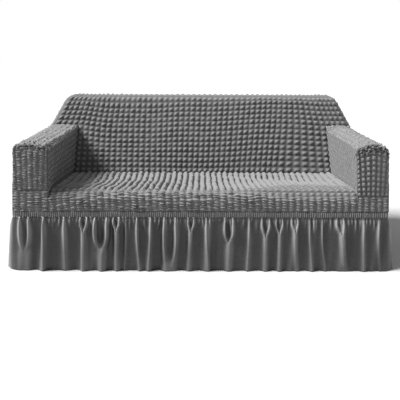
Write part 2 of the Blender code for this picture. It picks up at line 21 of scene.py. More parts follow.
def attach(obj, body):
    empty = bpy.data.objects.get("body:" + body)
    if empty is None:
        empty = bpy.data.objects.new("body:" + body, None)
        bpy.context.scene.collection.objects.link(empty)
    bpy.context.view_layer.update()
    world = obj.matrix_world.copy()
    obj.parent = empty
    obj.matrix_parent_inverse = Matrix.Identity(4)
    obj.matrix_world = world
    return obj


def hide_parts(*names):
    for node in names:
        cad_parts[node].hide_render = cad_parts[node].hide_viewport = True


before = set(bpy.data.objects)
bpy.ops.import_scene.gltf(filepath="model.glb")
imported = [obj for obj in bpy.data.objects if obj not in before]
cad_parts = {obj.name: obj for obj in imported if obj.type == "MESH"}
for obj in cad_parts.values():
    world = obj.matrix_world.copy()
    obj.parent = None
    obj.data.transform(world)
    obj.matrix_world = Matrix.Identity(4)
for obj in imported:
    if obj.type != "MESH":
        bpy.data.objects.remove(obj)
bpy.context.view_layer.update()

LOG = logging.getLogger("slipcover")
MM = 0.001
QUARTER = math.pi / 2
TINY = 1e-12
# Keeps points that belong together off the edge of a rounding step.
WELD_SHIFT = 0.137
# Sets the point numbers of one piece apart from the next one's in a search tree they share.
PIECE_STRIDE = 10**7

Array = np.ndarray
Number = float | np.ndarray
Pair = tuple[float, float]
Point = tuple[float, float, float]
Socket = bpy.types.NodeSocket
Wave = Callable[[Array], Array]


# ---- small helpers

def lerp(a: Number, b: Number, share: Number) -> Number:
    """Value a share of the way from a to b, for numbers and arrays alike."""
    return a + (b - a) * share


def ease(value: Number) -> Array:
    """Smooth step from 0 to 1, flat outside that range."""
    held = np.clip(value, 0.0, 1.0)
    return held * held * (3.0 - 2.0 * held)


def unit(vectors: Array) -> Array:
    """Vectors along the last axis, scaled to a length of 1."""
    return vectors / (np.linalg.norm(vectors, axis=-1, keepdims=True) + TINY)


def linear(colour: str) -> tuple[float, float, float, float]:
    """Turn an sRGB hex colour into a linear one.

    Args:
        colour: hex text such as "#6a6b6d".

    Returns:
        Red, green, blue and an alpha of 1.
    """
    parts = [int(colour[i:i + 2], 16) / 255 for i in (1, 3, 5)]
    red, green, blue = (c / 12.92 if c <= 0.04045 else ((c + 0.055) / 1.055) ** 2.4
                        for c in parts)
    return red, green, blue, 1.0


def add_node(tree: bpy.types.NodeTree, kind: str, settings: dict | None = None,
             links: dict | None = None) -> bpy.types.Node:
    """Add a node with its settings and links.

    Args:
        tree: tree that takes the node.
        kind: the node's type name.
        settings: attribute names, or input names or numbers, with their values.
        links: input names or numbers with the output socket that feeds each.

    Returns:
        The new node.
    """
    node = tree.nodes.new(kind)
    later = {}
    for key, value in (settings or {}).items():
        if isinstance(key, str) and hasattr(node, key):
            setattr(node, key, value)
        else:
            later[key] = value
    for key, value in later.items():
        node.inputs[key].default_value = value
    for key, socket in (links or {}).items():
        tree.links.new(socket, node.inputs[key])
    return node


def new_material(name: str, values: dict) -> bpy.types.Material:
    """Material with plain values on its shader's own sockets.

    Args:
        name: its name.
        values: socket names of the shader with their values.

    Returns:
        The material.
    """
    material = bpy.data.materials.new(name)
    material.use_nodes = True
    shader = material.node_tree.nodes["Principled BSDF"]
    for socket, value in values.items():
        shader.inputs[socket].default_value = value
    return material


def noise_wave(seed: int, waves: int = 7, rates: Pair = (0.25, 1.6)) -> Wave:
    """Seeded smooth curve between about -1 and 1, one gentle bend per unit.

    Args:
        seed: picks the curve.
        waves: number of sine waves added together.
        rates: least and greatest number of turns of one wave per unit.

    Returns:
        A function of an array.
    """
    draw = random.Random(seed)
    parts = [(draw.uniform(*rates), draw.uniform(0, 2 * math.pi)) for _ in range(waves)]
    return lambda x: sum(np.sin(2 * math.pi * rate * x + phase)
                         for rate, phase in parts) / math.sqrt(waves)


# ---- covered sofa

class Side(Enum):
    """Side of the sofa, as seen from the front."""

    LEFT = -1
    RIGHT = 1


class Face(Enum):
    """Face of the sofa's back, with the way in which it looks along y."""

    INSIDE = -1
    OUTSIDE = 1


@dataclass(frozen=True)
class Arm:
    """One arm of the sofa: distances from the middle, heights and radii in metres.

    Attributes:
        in_foot: its inner face at the seat.
        seam_z: height of the seam below its front.
        crown: how far its top bulges up.
        rise: how far its top climbs towards the rear.
    """

    side: Side
    out_top: float
    in_top: float
    in_foot: float
    seam_z: float
    round_out: float
    round_in: float
    crown: float
    rise: float

    @property
    def name(self) -> str:
        """Word used in node names."""
        return self.side.name.lower()


@dataclass(frozen=True)
class Sofa:
    """Shape of the covered sofa, the same one as the solids have, in metres."""

    # The band goes round at these distances and heights.
    half_width: float = 0.950
    front_y: float = -0.440
    rear_y: float = 0.440
    rear_corner: float = 0.034
    band_top: float = 0.305
    band_bottom: float = 0.275
    # The seat has a round front edge, and a crease between it and the back.
    seat_front_z: float = 0.408
    seat_rear_z: float = 0.386
    seat_round: float = 0.050
    seat_swell: float = 0.008
    crease_y: float = 0.095
    # The back meets the arms at the join, and its top corners are round from the corner on.
    join_z: float = 0.662
    join_half_width: float = 0.937
    corner_z: float = 0.790
    corner_half_width: float = 0.868
    back_top_z: float = 0.838
    top_half_width: float = 0.790
    inside_top: Pair = (0.262, 0.811)
    outside_top: Pair = (0.418, 0.811)
    top_round: float = 0.032
    side_round: float = 0.042
    back_swell: float = 0.010
    seam_foot_y: float = 0.362
    # The arms bulge in front, and climb to the join over the length of the fillet.
    arm_top: float = 0.640
    arm_bulge: float = 0.007
    fillet: float = 0.090
    left: Arm = Arm(Side.LEFT, 0.934, 0.757, 0.765, 0.415, 0.024, 0.030, 0.004, 0.012)
    right: Arm = Arm(Side.RIGHT, 0.936, 0.772, 0.788, 0.387, 0.040, 0.036, 0.012, 0.002)
    # Steps of a dense outline along half a round edge of an arm, and along its top.
    arc_steps: int = 12
    top_steps: int = 24

    @property
    def crown_foot_z(self) -> float:
        """Height where the seat's round front edge turns upright."""
        return self.seat_front_z - self.seat_round

    def inside_back_y(self, z: Number) -> Number:
        """Front face of the back at height z."""
        top_y, top_z = self.inside_top
        return lerp(self.crease_y, top_y, (z - self.seat_rear_z) / (top_z - self.seat_rear_z))

    def outside_back_y(self, z: Number) -> Number:
        """Rear face of the back at height z."""
        top_y, top_z = self.outside_top
        return lerp(self.rear_y, top_y, (z - self.band_top) / (top_z - self.band_top))

    def back_half_width(self, z: Array) -> Array:
        """Half width of the back above the arm line: a straight side, then a round corner.

        Args:
            z: heights.

        Returns:
            Half widths.
        """
        slope = ((self.corner_half_width - self.join_half_width)
                 / (self.corner_z - self.join_z))
        knee = self.corner_half_width + slope * (self.back_top_z - self.corner_z)
        left = np.sqrt(np.clip((self.back_top_z - z) / (self.back_top_z - self.corner_z), 0, 1))
        gone = 1.0 - left
        corner = (self.corner_half_width * left**2 + 2 * knee * left * gone
                  + self.top_half_width * gone**2)
        side = self.join_half_width + slope * (z - self.join_z)
        return np.where(z <= self.corner_z, side, corner)

    def seam(self, share: Array) -> Array:
        """Right side seam of the back.

        Args:
            share: places on it, from the band (0) to the arm line (1).

        Returns:
            Points, last axis x, y, z.
        """
        z = lerp(self.band_top, self.join_z, share)
        join_y = (self.inside_back_y(self.join_z) + self.outside_back_y(self.join_z)) / 2
        return np.stack([lerp(self.half_width, self.join_half_width, share),
                         lerp(self.seam_foot_y, join_y, share), z], axis=-1)

    @staticmethod
    def side_rounding(x: Array, half_width: Number, rounding: Number) -> Array:
        """Share of the back's depth left at x: 1 on the face, 0 at the side seam."""
        inset = np.clip((np.abs(x) - (half_width - rounding)) / rounding, 0, 1)
        return np.sqrt(1.0 - inset * inset)

    def swell(self, x: Array, z: Array) -> Array:
        """How far the padded inside back stands proud of its plane.

        Args:
            x: distances to the right.
            z: heights.

        Returns:
            Distances.
        """
        across = np.maximum(0.0, 1.0 - (x / min(self.left.in_top, self.right.in_top)) ** 2)
        up = np.clip((z - self.seat_rear_z) / (self.inside_top[1] - self.seat_rear_z), 0, 1)
        return self.back_swell * across * np.sin(math.pi * up)

    def upper_back(self, x: Array, z: Array, over: Array, face: Face) -> Array:
        """Points of the back above the arm line.

        Args:
            x: distances to the right.
            z: heights.
            over: 1 on the upright faces, falling to 0 on the ridge of the top.
            face: the face they lie on.

        Returns:
            Points, last axis x, y, z.
        """
        middle = (self.inside_back_y(z) + self.outside_back_y(z)) / 2
        half_depth = (self.outside_back_y(z) - self.inside_back_y(z)) / 2
        depth = half_depth * self.side_rounding(x, self.back_half_width(z), self.side_round)
        depth = depth * over
        if face is Face.INSIDE:
            depth = depth + self.swell(x, z) * over
        return np.stack([x, middle + face.value * depth, z + 0 * x], axis=-1)

    def arm_sides(self, arm: Arm, z: Number) -> tuple[Number, Number]:
        """Outer and inner side of an arm's front.

        Args:
            arm: the arm.
            z: heights.

        Returns:
            Distances of both sides from the middle.
        """
        return (np.interp(z, [self.band_top, self.arm_top - arm.round_out],
                          [self.half_width, arm.out_top]),
                np.interp(z, [self.crown_foot_z, self.arm_top - arm.round_in],
                          [arm.in_foot, arm.in_top]))

    def seat_line(self, steps_round: int, steps_deck: int) -> Array:
        """Side view of the seat, from the foot of its round edge to the crease.

        Args:
            steps_round: number of steps over the round edge.
            steps_deck: number of steps along the deck.

        Returns:
            Rows of y, z.
        """
        angle = np.linspace(0, QUARTER, steps_round + 1)
        edge = np.stack([self.front_y + self.seat_round * (1 - np.cos(angle)),
                         self.seat_front_z - self.seat_round * (1 - np.sin(angle))], axis=-1)
        share = np.linspace(0, 1, steps_deck + 1)[1:]
        deck = np.stack([lerp(self.front_y + self.seat_round, self.crease_y, share),
                         lerp(self.seat_front_z, self.seat_rear_z, share)], axis=-1)
        return np.vstack([edge, deck])

    def seat_height(self, y: Array) -> Array:
        """Height of the seat's side edge.

        Args:
            y: places from front to rear.

        Returns:
            Heights.
        """
        deck_y = self.front_y + self.seat_round
        reach = np.clip(deck_y - y, 0, self.seat_round)
        edge = self.crown_foot_z + np.sqrt(self.seat_round**2 - reach**2)
        deck = lerp(self.seat_front_z, self.seat_rear_z, (y - deck_y) / (self.crease_y - deck_y))
        return np.where(y < deck_y, edge, deck)

    def _arc(self, centre: float, radius: float, start: float, end: float) -> Array:
        """Part of a round top edge of an arm.

        Args:
            centre: distance of its centre from the middle.
            radius: its radius.
            start: angle where the part starts.
            end: angle where it ends.

        Returns:
            Rows of distance from the middle, z.
        """
        angle = np.linspace(start, end, self.arc_steps + 1)
        return np.stack([centre + radius * np.cos(angle),
                         self.arm_top - radius + radius * np.sin(angle)], axis=-1)

    def arm_outline(self, arm: Arm) -> tuple[Array, Array, Array]:
        """Front outline of an arm, in three runs that share their ends.

        Args:
            arm: the arm.

        Returns:
            Dense (distance from the middle, z) points up the outside to the middle of the
            round edge, over the top, and down the inside to the foot of the seat's edge.
        """
        outer_centre, inner_centre = arm.out_top - arm.round_out, arm.in_top + arm.round_in
        up = np.vstack([[(self.half_width, self.band_top),
                         (arm.out_top, self.arm_top - arm.round_out)],
                        self._arc(outer_centre, arm.round_out, 0, QUARTER / 2)[1:]])
        share = np.linspace(0, 1, self.top_steps + 1)[1:-1]
        top = np.stack([lerp(outer_centre, inner_centre, share),
                        self.arm_top + arm.crown * np.sin(math.pi * share)], axis=-1)
        over = np.vstack([self._arc(outer_centre, arm.round_out, QUARTER / 2, QUARTER), top,
                          self._arc(inner_centre, arm.round_in, QUARTER, 1.5 * QUARTER)])
        down = np.vstack([self._arc(inner_centre, arm.round_in, 1.5 * QUARTER, 2 * QUARTER),
                          [(arm.in_foot, self.crown_foot_z)]])
        return up, over, down


SOFA = Sofa()


def run_length(points: Array) -> Array:
    """Distance of each point along its run."""
    return np.concatenate([[0.0], np.cumsum(np.linalg.norm(np.diff(points, axis=0), axis=1))])


def resample(points: Array, places: Array) -> Array:
    """Points at given distances along a run.

    Args:
        points: the run, a row for each of its points.
        places: the distances.

    Returns:
        A row for each distance.
    """
    along = run_length(points)
    return np.stack([np.interp(places, along, points[:, k]) for k in range(points.shape[1])],
                    axis=-1)


# ---- cloth meshes

@dataclass
class Patch:
    """Grid of points with its cloth coordinates, counted in puffs.

    Attributes:
        points: rows x columns x 3, turned so that rows x columns face outwards.
        cloth: rows x columns x 2.
        fine: fine steps in one puff, down the rows and across the columns.
    """

    points: Array
    cloth: Array
    fine: tuple[int, int]

    @classmethod
    def counted(cls, points: Array, fine: tuple[int, int], across: Array | None = None,
                first_row: int = 0, flip: bool = False) -> "Patch":
        """Patch whose columns and rows each have one puff count.

        Args:
            points: rows x columns x 3.
            fine: fine steps in one puff, down and across.
            across: puff count of each column, unless they are evenly counted from 0.
            first_row: puff count of the first row.
            flip: True turns the patch over, so that it faces outwards.

        Returns:
            The patch.
        """
        rows, columns = points.shape[:2]
        if across is None:
            across = np.arange(columns) / fine[1]
        u, v = np.meshgrid(across, first_row + np.arange(rows) / fine[0])
        cloth = np.stack([u, v], axis=-1)
        if flip:
            points, cloth = points[:, ::-1], cloth[:, ::-1]
        return cls(points, cloth, fine)

    def stops(self, axis: int) -> list[int]:
        """Numbers of the grid lines that bound its puffs along an axis."""
        last = self.points.shape[axis] - 1
        return list(range(0, last, self.fine[axis])) + [last]


@dataclass
class ClothPiece:
    """One sewn piece: patches that share their edge points, and a flat backing under them.

    Attributes:
        gathers: how strongly its seams gather it, with 1 for the plainest.
        weld: points nearer than this are one point.
        full: share of a full puff's height at each point.
        slack: share of cross folds in place of puffs at each point.
        taut: how far the puffs run together into ropes at each point.
        crush: share of deep, uneven crumples at each point.
    """

    name: str
    patches: list[Patch]
    width: float
    gathers: float = 1.0
    thickness: float = 3.6 * MM
    weld: float = 2e-5
    points: Array = field(init=False)
    cloth: Array = field(init=False)
    quads: Array = field(init=False)
    rim: list[tuple[int, int]] = field(init=False)
    backing: list[list[int]] = field(init=False)
    normals: Array = field(init=False)
    full: Array = field(init=False)
    slack: Array = field(init=False)
    taut: Array = field(init=False)
    crush: Array = field(init=False)

    def __post_init__(self) -> None:
        """Join the patches and find the rim."""
        points = np.vstack([p.points.reshape(-1, 3) for p in self.patches])
        cloth = np.vstack([p.cloth.reshape(-1, 2) for p in self.patches])
        keys = np.round(points / self.weld + WELD_SHIFT).astype(np.int64)
        _, first, joined = np.unique(keys, axis=0, return_index=True, return_inverse=True)
        joined = joined.reshape(-1)
        self.points, self.cloth = points[first], cloth[first]
        quads, self.backing, start = [], [], 0
        for patch in self.patches:
            rows, columns = patch.points.shape[:2]
            index = joined[start:start + rows * columns].reshape(rows, columns)
            start += rows * columns
            quads.append(np.stack([index[:-1, :-1], index[:-1, 1:], index[1:, 1:],
                                   index[1:, :-1]], axis=-1).reshape(-1, 4))
            self.backing += self._backing_faces(index, patch)
        quads = np.vstack(quads)
        self.quads = quads[np.array([len(set(quad)) == 4 for quad in quads.tolist()])]
        edges = np.vstack([self.quads[:, [i, (i + 1) % 4]] for i in range(4)])
        known = set(map(tuple, edges.tolist()))
        self.rim = [(a, b) for a, b in edges.tolist() if (b, a) not in known]
        self.full = np.ones(len(self.points))
        self.slack, self.taut, self.crush = np.zeros((3, len(self.points)))
        self._update_normals()

    @staticmethod
    def _backing_faces(index: Array, patch: Patch) -> list[list[int]]:
        """Coarse faces under a patch: one for each puff, with every fine point on its edge.

        Args:
            index: the patch's point numbers, rows x columns.
            patch: the patch.

        Returns:
            Faces as lists of point numbers, turned as the outside is.
        """
        rows, columns = index.shape[0] - 1, index.shape[1] - 1
        row_stops, column_stops = patch.stops(0), patch.stops(1)
        faces = []
        for r0, r1 in zip(row_stops, row_stops[1:]):
            for c0, c1 in zip(column_stops, column_stops[1:]):
                low = index[r0, c0:c1 + 1] if r0 == 0 else index[r0, [c0, c1]]
                right = index[r0:r1 + 1, c1] if c1 == columns else index[[r0, r1], c1]
                high = index[r1, c0:c1 + 1] if r1 == rows else index[r1, [c0, c1]]
                left = index[r0:r1 + 1, c0] if c0 == 0 else index[[r0, r1], c0]
                loop = [*low[:-1], *right[:-1], *high[:0:-1], *left[:0:-1]]
                face = [int(v) for i, v in enumerate(loop) if v != loop[i - 1]]
                if len(face) > 2:
                    faces.append(face)
        return faces

    def _face_vectors(self) -> Array:
        """Outward vector of each fine face, twice as long as the face's area."""
        a, b, c, d = (self.points[self.quads[:, i]] for i in range(4))
        return np.cross(c - a, d - b)

    def _update_normals(self) -> None:
        """Work out the outward unit normal at each point."""
        vectors = self._face_vectors()
        total = np.zeros_like(self.points)
        for i in range(4):
            np.add.at(total, self.quads[:, i], vectors)
        self.normals = unit(total)

    @property
    def area(self) -> float:
        """Area of the cloth before it is puffed, in square metres."""
        return float(np.linalg.norm(self._face_vectors(), axis=1).sum() / 2)

    def rim_points(self) -> Array:
        """Numbers of the points on the rim."""
        return np.unique(np.array(self.rim))

    def drag(self, shift: Array, rim_held: bool = True) -> None:
        """Drag the cloth along its own surface.

        Args:
            shift: how far each point is dragged; what leads off the surface is left out.
            rim_held: True leaves the rim where it is.
        """
        shift = shift - self.normals * (shift * self.normals).sum(axis=1, keepdims=True)
        if rim_held:
            shift[self.rim_points()] = 0.0
        self.points = self.points + shift

    def shell(self) -> tuple[Array, list[list[int]], Array]:
        """Closed shell of the piece: fine outside, coarse inside and the rim between them.

        Returns:
            Points, faces, and the number of each point in the piece, or -1 inside.
        """
        count = len(self.points)
        inner = self.points - self.normals * self.thickness
        faces = self.quads.tolist()
        faces += [[v + count for v in reversed(face)] for face in self.backing]
        faces += [[b, a, a + count, b + count] for a, b in self.rim]
        used = np.zeros(2 * count, dtype=bool)
        used[[v for face in faces for v in face]] = True
        renumber = np.cumsum(used) - 1
        faces = [[int(renumber[v]) for v in face] for face in faces]
        source = np.concatenate([np.arange(count), np.full(count, -1)])
        return np.vstack([self.points, inner])[used], faces, source[used]


@dataclass(frozen=True)
class Pull:
    """Place where the cloth's rows are dragged askew, as seen from the front.

    Attributes:
        reach: how far it is felt.
        climb: rise of the rows to the right.
    """

    x: float
    z: float
    reach: float
    climb: float

    def shift(self, points: Array) -> Array:
        """Work out how far the cloth slides.

        Args:
            points: places on it.

        Returns:
            Shift at each point.
        """
        across, up = points[:, 0] - self.x, points[:, 2] - self.z
        felt = np.exp(-(across**2 + up**2) / self.reach**2)
        return np.stack([0 * up, 0 * up, self.climb * across * felt], axis=-1)


@dataclass(frozen=True)
class Skew:
    """Slow skew of the inside back's cloth, which slides along the crease but no other seam.

    The columns lean to the left on the right side, by so much per metre, and the rows fall
    towards the left arm and rise towards the right one.
    """

    sofa: Sofa
    lean: float = 0.105
    lean_from: float = -0.27
    lean_fade: float = 0.28
    drop: float = 19 * MM
    drop_from: float = -0.05
    drop_foot: float = 0.43
    climb: float = 10 * MM
    climb_from: float = 0.20
    swing: float = 0.30
    fade: float = 0.20
    top_fade: float = 0.06
    crease_fade: float = 0.08

    def shift(self, points: Array) -> Array:
        """Work out how far the cloth slides.

        Args:
            points: places on the inside back.

        Returns:
            Shift at each point.
        """
        sofa, (x, _, z) = self.sofa, points.T
        below_top, above_seat = sofa.back_top_z - z, z - sofa.seat_rear_z
        to_left, to_right = x + sofa.left.in_top, sofa.right.in_top - x
        lean = self.lean * np.maximum(x - self.lean_from, 0.0) * ease(to_right / self.lean_fade)
        lean = lean * below_top / (sofa.back_top_z - sofa.seat_rear_z)
        drop = self.drop * ease((self.drop_from - x) / self.swing) * ease(to_left / self.fade)
        drop = drop * ease((z - self.drop_foot) / self.fade)
        climb = self.climb * ease((x - self.climb_from) / self.swing)
        climb = climb * ease(to_right / self.fade)
        inner = ease(below_top / self.top_fade) * ease(above_seat / self.crease_fade)
        return np.stack([-lean, 0 * z, (climb - drop) * inner], axis=-1)


def search_tree(entries: Sequence[tuple[Array, int]]) -> KDTree:
    """Search tree of points.

    Args:
        entries: each point with the number that it is found by.

    Returns:
        The tree.
    """
    tree = KDTree(len(entries))
    for point, number in entries:
        tree.insert(point, number)
    tree.balance()
    return tree


@dataclass(frozen=True)
class Seams:
    """How cloth behaves at its seams: it dips into them and gathers a little along them.

    The band's seam, up to band_seam_z, and the ridge's, from ridge_z on, lie flat. The seams
    below the arm fronts, in front of front_y and below front_z, keep a share of the dip.

    Attributes:
        reach: distance over which the cloth comes up again.
        pit: how much deeper or shallower the seam is from place to place.
        crinkle: how far apart the crinkles across a gather are, over 2 pi.
        same_seam: rim points of two pieces nearer than this are sewn together.
        gather_z: the seams above this height take the piece's own gathers.
        along: weights of x, y and z in the place along a seam.
    """

    dip: float = 3.4 * MM
    reach: float = 9 * MM
    turn_power: float = 0.7
    pit: float = 0.35
    pit_range: Pair = (0.2, 3.0)
    pit_rate: float = 0.7
    pucker: float = 2.0 * MM
    pucker_pitch: float = 17 * MM
    pucker_reach: float = 36 * MM
    pucker_start: float = 4 * MM
    crinkle: float = 4 * MM
    crinkle_drift: float = 3.0
    crinkle_rate: float = 0.5
    crush_clear: float = 6 * MM
    puff_start: float = 1 * MM
    puff_full: float = 10 * MM
    same_seam: float = 9 * MM
    band_seam_z: float = 0.306
    ridge_z: float = 0.700
    gather_z: float = 0.590
    front_y: float = -0.430
    front_z: float = 0.450
    front_dip: float = 0.10
    front_full: float = 3 * MM
    along: Point = (1.0, 0.9, 1.1)
    gather_seed: int = 40
    pit_seed: int = 60

    def sew(self, pieces: Sequence[ClothPiece]) -> None:
        """Draw all rims into their seams, and flatten the puffs there.

        Args:
            pieces: every piece of bubble cloth, whose points and fullness are changed.
        """
        rims = [piece.rim_points() for piece in pieces]
        tree = search_tree([(piece.points[i], number * PIECE_STRIDE + int(i))
                            for number, (piece, rim) in enumerate(zip(pieces, rims))
                            for i in rim])
        ways = [self._ways_out(pieces, number, rim, tree) for number, rim in enumerate(rims)]
        for number, piece in enumerate(pieces):
            self._sink(piece, rims[number], ways[number],
                       noise_wave(number + self.gather_seed), noise_wave(number + self.pit_seed))

    def _ways_out(self, pieces: Sequence[ClothPiece], own: int, rim: Array,
                  tree: KDTree) -> Array:
        """Outward directions that a piece shares with its neighbours.

        Args:
            pieces: all pieces.
            own: number of this piece.
            rim: numbers of its rim points.
            tree: search tree of all rims.

        Returns:
            One direction for each rim point.
        """
        ways = []
        for i in rim:
            near = [code for _, code, _ in tree.find_range(pieces[own].points[i], self.same_seam)
                    if code // PIECE_STRIDE != own]
            found = [pieces[code // PIECE_STRIDE].normals[code % PIECE_STRIDE] for code in near]
            normal = pieces[own].normals[i]
            ways.append(unit(normal + (np.mean(found, axis=0) if found else normal)))
        return np.array(ways)

    def _sink(self, piece: ClothPiece, rim: Array, ways: Array, gather: Wave,
              pitting: Wave) -> None:
        """Move one piece's points into its seams and gather them.

        Args:
            piece: the piece.
            rim: numbers of its rim points.
            ways: shared outward direction at each rim point.
            gather: curve of the gathers along the seam.
            pitting: curve of the seam's depth along it.
        """
        tree = search_tree([(piece.points[i], place) for place, i in enumerate(rim)])
        found = [tree.find(point)[1:] for point in piece.points]
        place = np.array([number for number, _ in found])
        apart = np.array([distance for _, distance in found])
        source = piece.points[rim[place]]
        along = source @ np.array(self.along) / self.pucker_pitch
        near = np.clip(1.0 - apart / self.reach, 0, 1)[:, None]
        blend = near**self.turn_power
        way = unit(ways[place] * blend + piece.normals * (1 - blend))
        gathers = lerp(1.0, piece.gathers, ease((source[:, 2] - self.gather_z) / self.reach))
        pitted = np.clip(1 + self.pit * gathers * pitting(along * self.pit_rate),
                         *self.pit_range)
        dips = (source[:, 2] > self.band_seam_z) & (source[:, 2] < self.ridge_z)
        plain = (source[:, 1] < self.front_y) & (source[:, 2] < self.front_z)
        depth = self.dip * pitted * dips * np.where(plain, self.front_dip, 1.0)
        fade = (np.clip(1 - apart / self.pucker_reach, 0, 1) ** 2
                * np.clip(apart / self.pucker_start, 0, 1))
        turn = (apart / self.crinkle
                + self.crinkle_drift * pitting(along * self.crinkle_rate))
        height = self.pucker * gathers * gather(along) * fade * np.cos(turn)
        piece.points = (piece.points - way * depth[:, None] * near**2
                        + piece.normals * height[:, None])
        piece.crush = piece.crush * ease(apart / self.crush_clear)
        clear = np.where(plain, self.front_full, self.puff_full)
        piece.full = piece.full * ease((apart - self.puff_start) / (clear - self.puff_start))


@dataclass(frozen=True)
class BubbleGrid:
    """The cloth's grid of puffs: width of a puff, and its height on the sofa.

    The cloth is stretched more across the back, and is slack down the fronts.
    """

    across: float = 34.2 * MM
    across_back: float = 34.6 * MM
    down: float = 33 * MM
    down_front: float = 26 * MM


GRID = BubbleGrid()


def grid_steps(length: float, pitch: float, fine: int) -> int:
    """Number of fine steps along a length, in whole puffs."""
    return max(1, round(length / pitch)) * fine


def add_object(name: str, data: bpy.types.ID) -> bpy.types.Object:
    """Object at the origin, linked to the scene.

    Args:
        name: its name.
        data: the mesh, lamp or camera that it holds.

    Returns:
        The object.
    """
    item = bpy.data.objects.new(name, data)
    bpy.context.scene.collection.objects.link(item)
    return item


def make_object(name: str, points: Array, faces: list, smooth: bool = True) -> bpy.types.Object:
    """Plain mesh object at the origin.

    Args:
        name: its name.
        points: its points.
        faces: its faces as lists of point numbers.
        smooth: True shades it smooth.

    Returns:
        The object.
    """
    mesh = bpy.data.meshes.new(name)
    mesh.from_pydata(points.tolist(), [], faces)
    mesh.update()
    if smooth:
        mesh.shade_smooth()
    return add_object(name, mesh)


def store(mesh: bpy.types.Mesh, name: str, kind: str, values: Array) -> None:
    """Store a point attribute.

    Args:
        mesh: the mesh.
        name: the attribute's name.
        kind: FLOAT or FLOAT_VECTOR.
        values: one value, or three, for each point.
    """
    layer = mesh.attributes.new(name, kind, "POINT")
    layer.data.foreach_set("value" if kind == "FLOAT" else "vector",
                           np.ascontiguousarray(values, dtype=np.float32).ravel())


class Held(Enum):
    """How a cut cloth is held in its place."""

    STRETCHED = "stretched"
    GATHERED = "gathered"


def declare(item: bpy.types.Object, node: str, flat: Pair) -> None:
    """Attach a finished cloth to the root, hide the solid that it replaces, and log how it was
    cut.

    Args:
        item: the finished piece.
        node: the solid that it replaces.
        flat: its flat width and length, in metres.
    """
    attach(item, "root")
    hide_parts(node)
    LOG.info("%s: %d faces, cut %.2f x %.2f m", item.name, len(item.data.polygons), *flat)


# ---- node trees

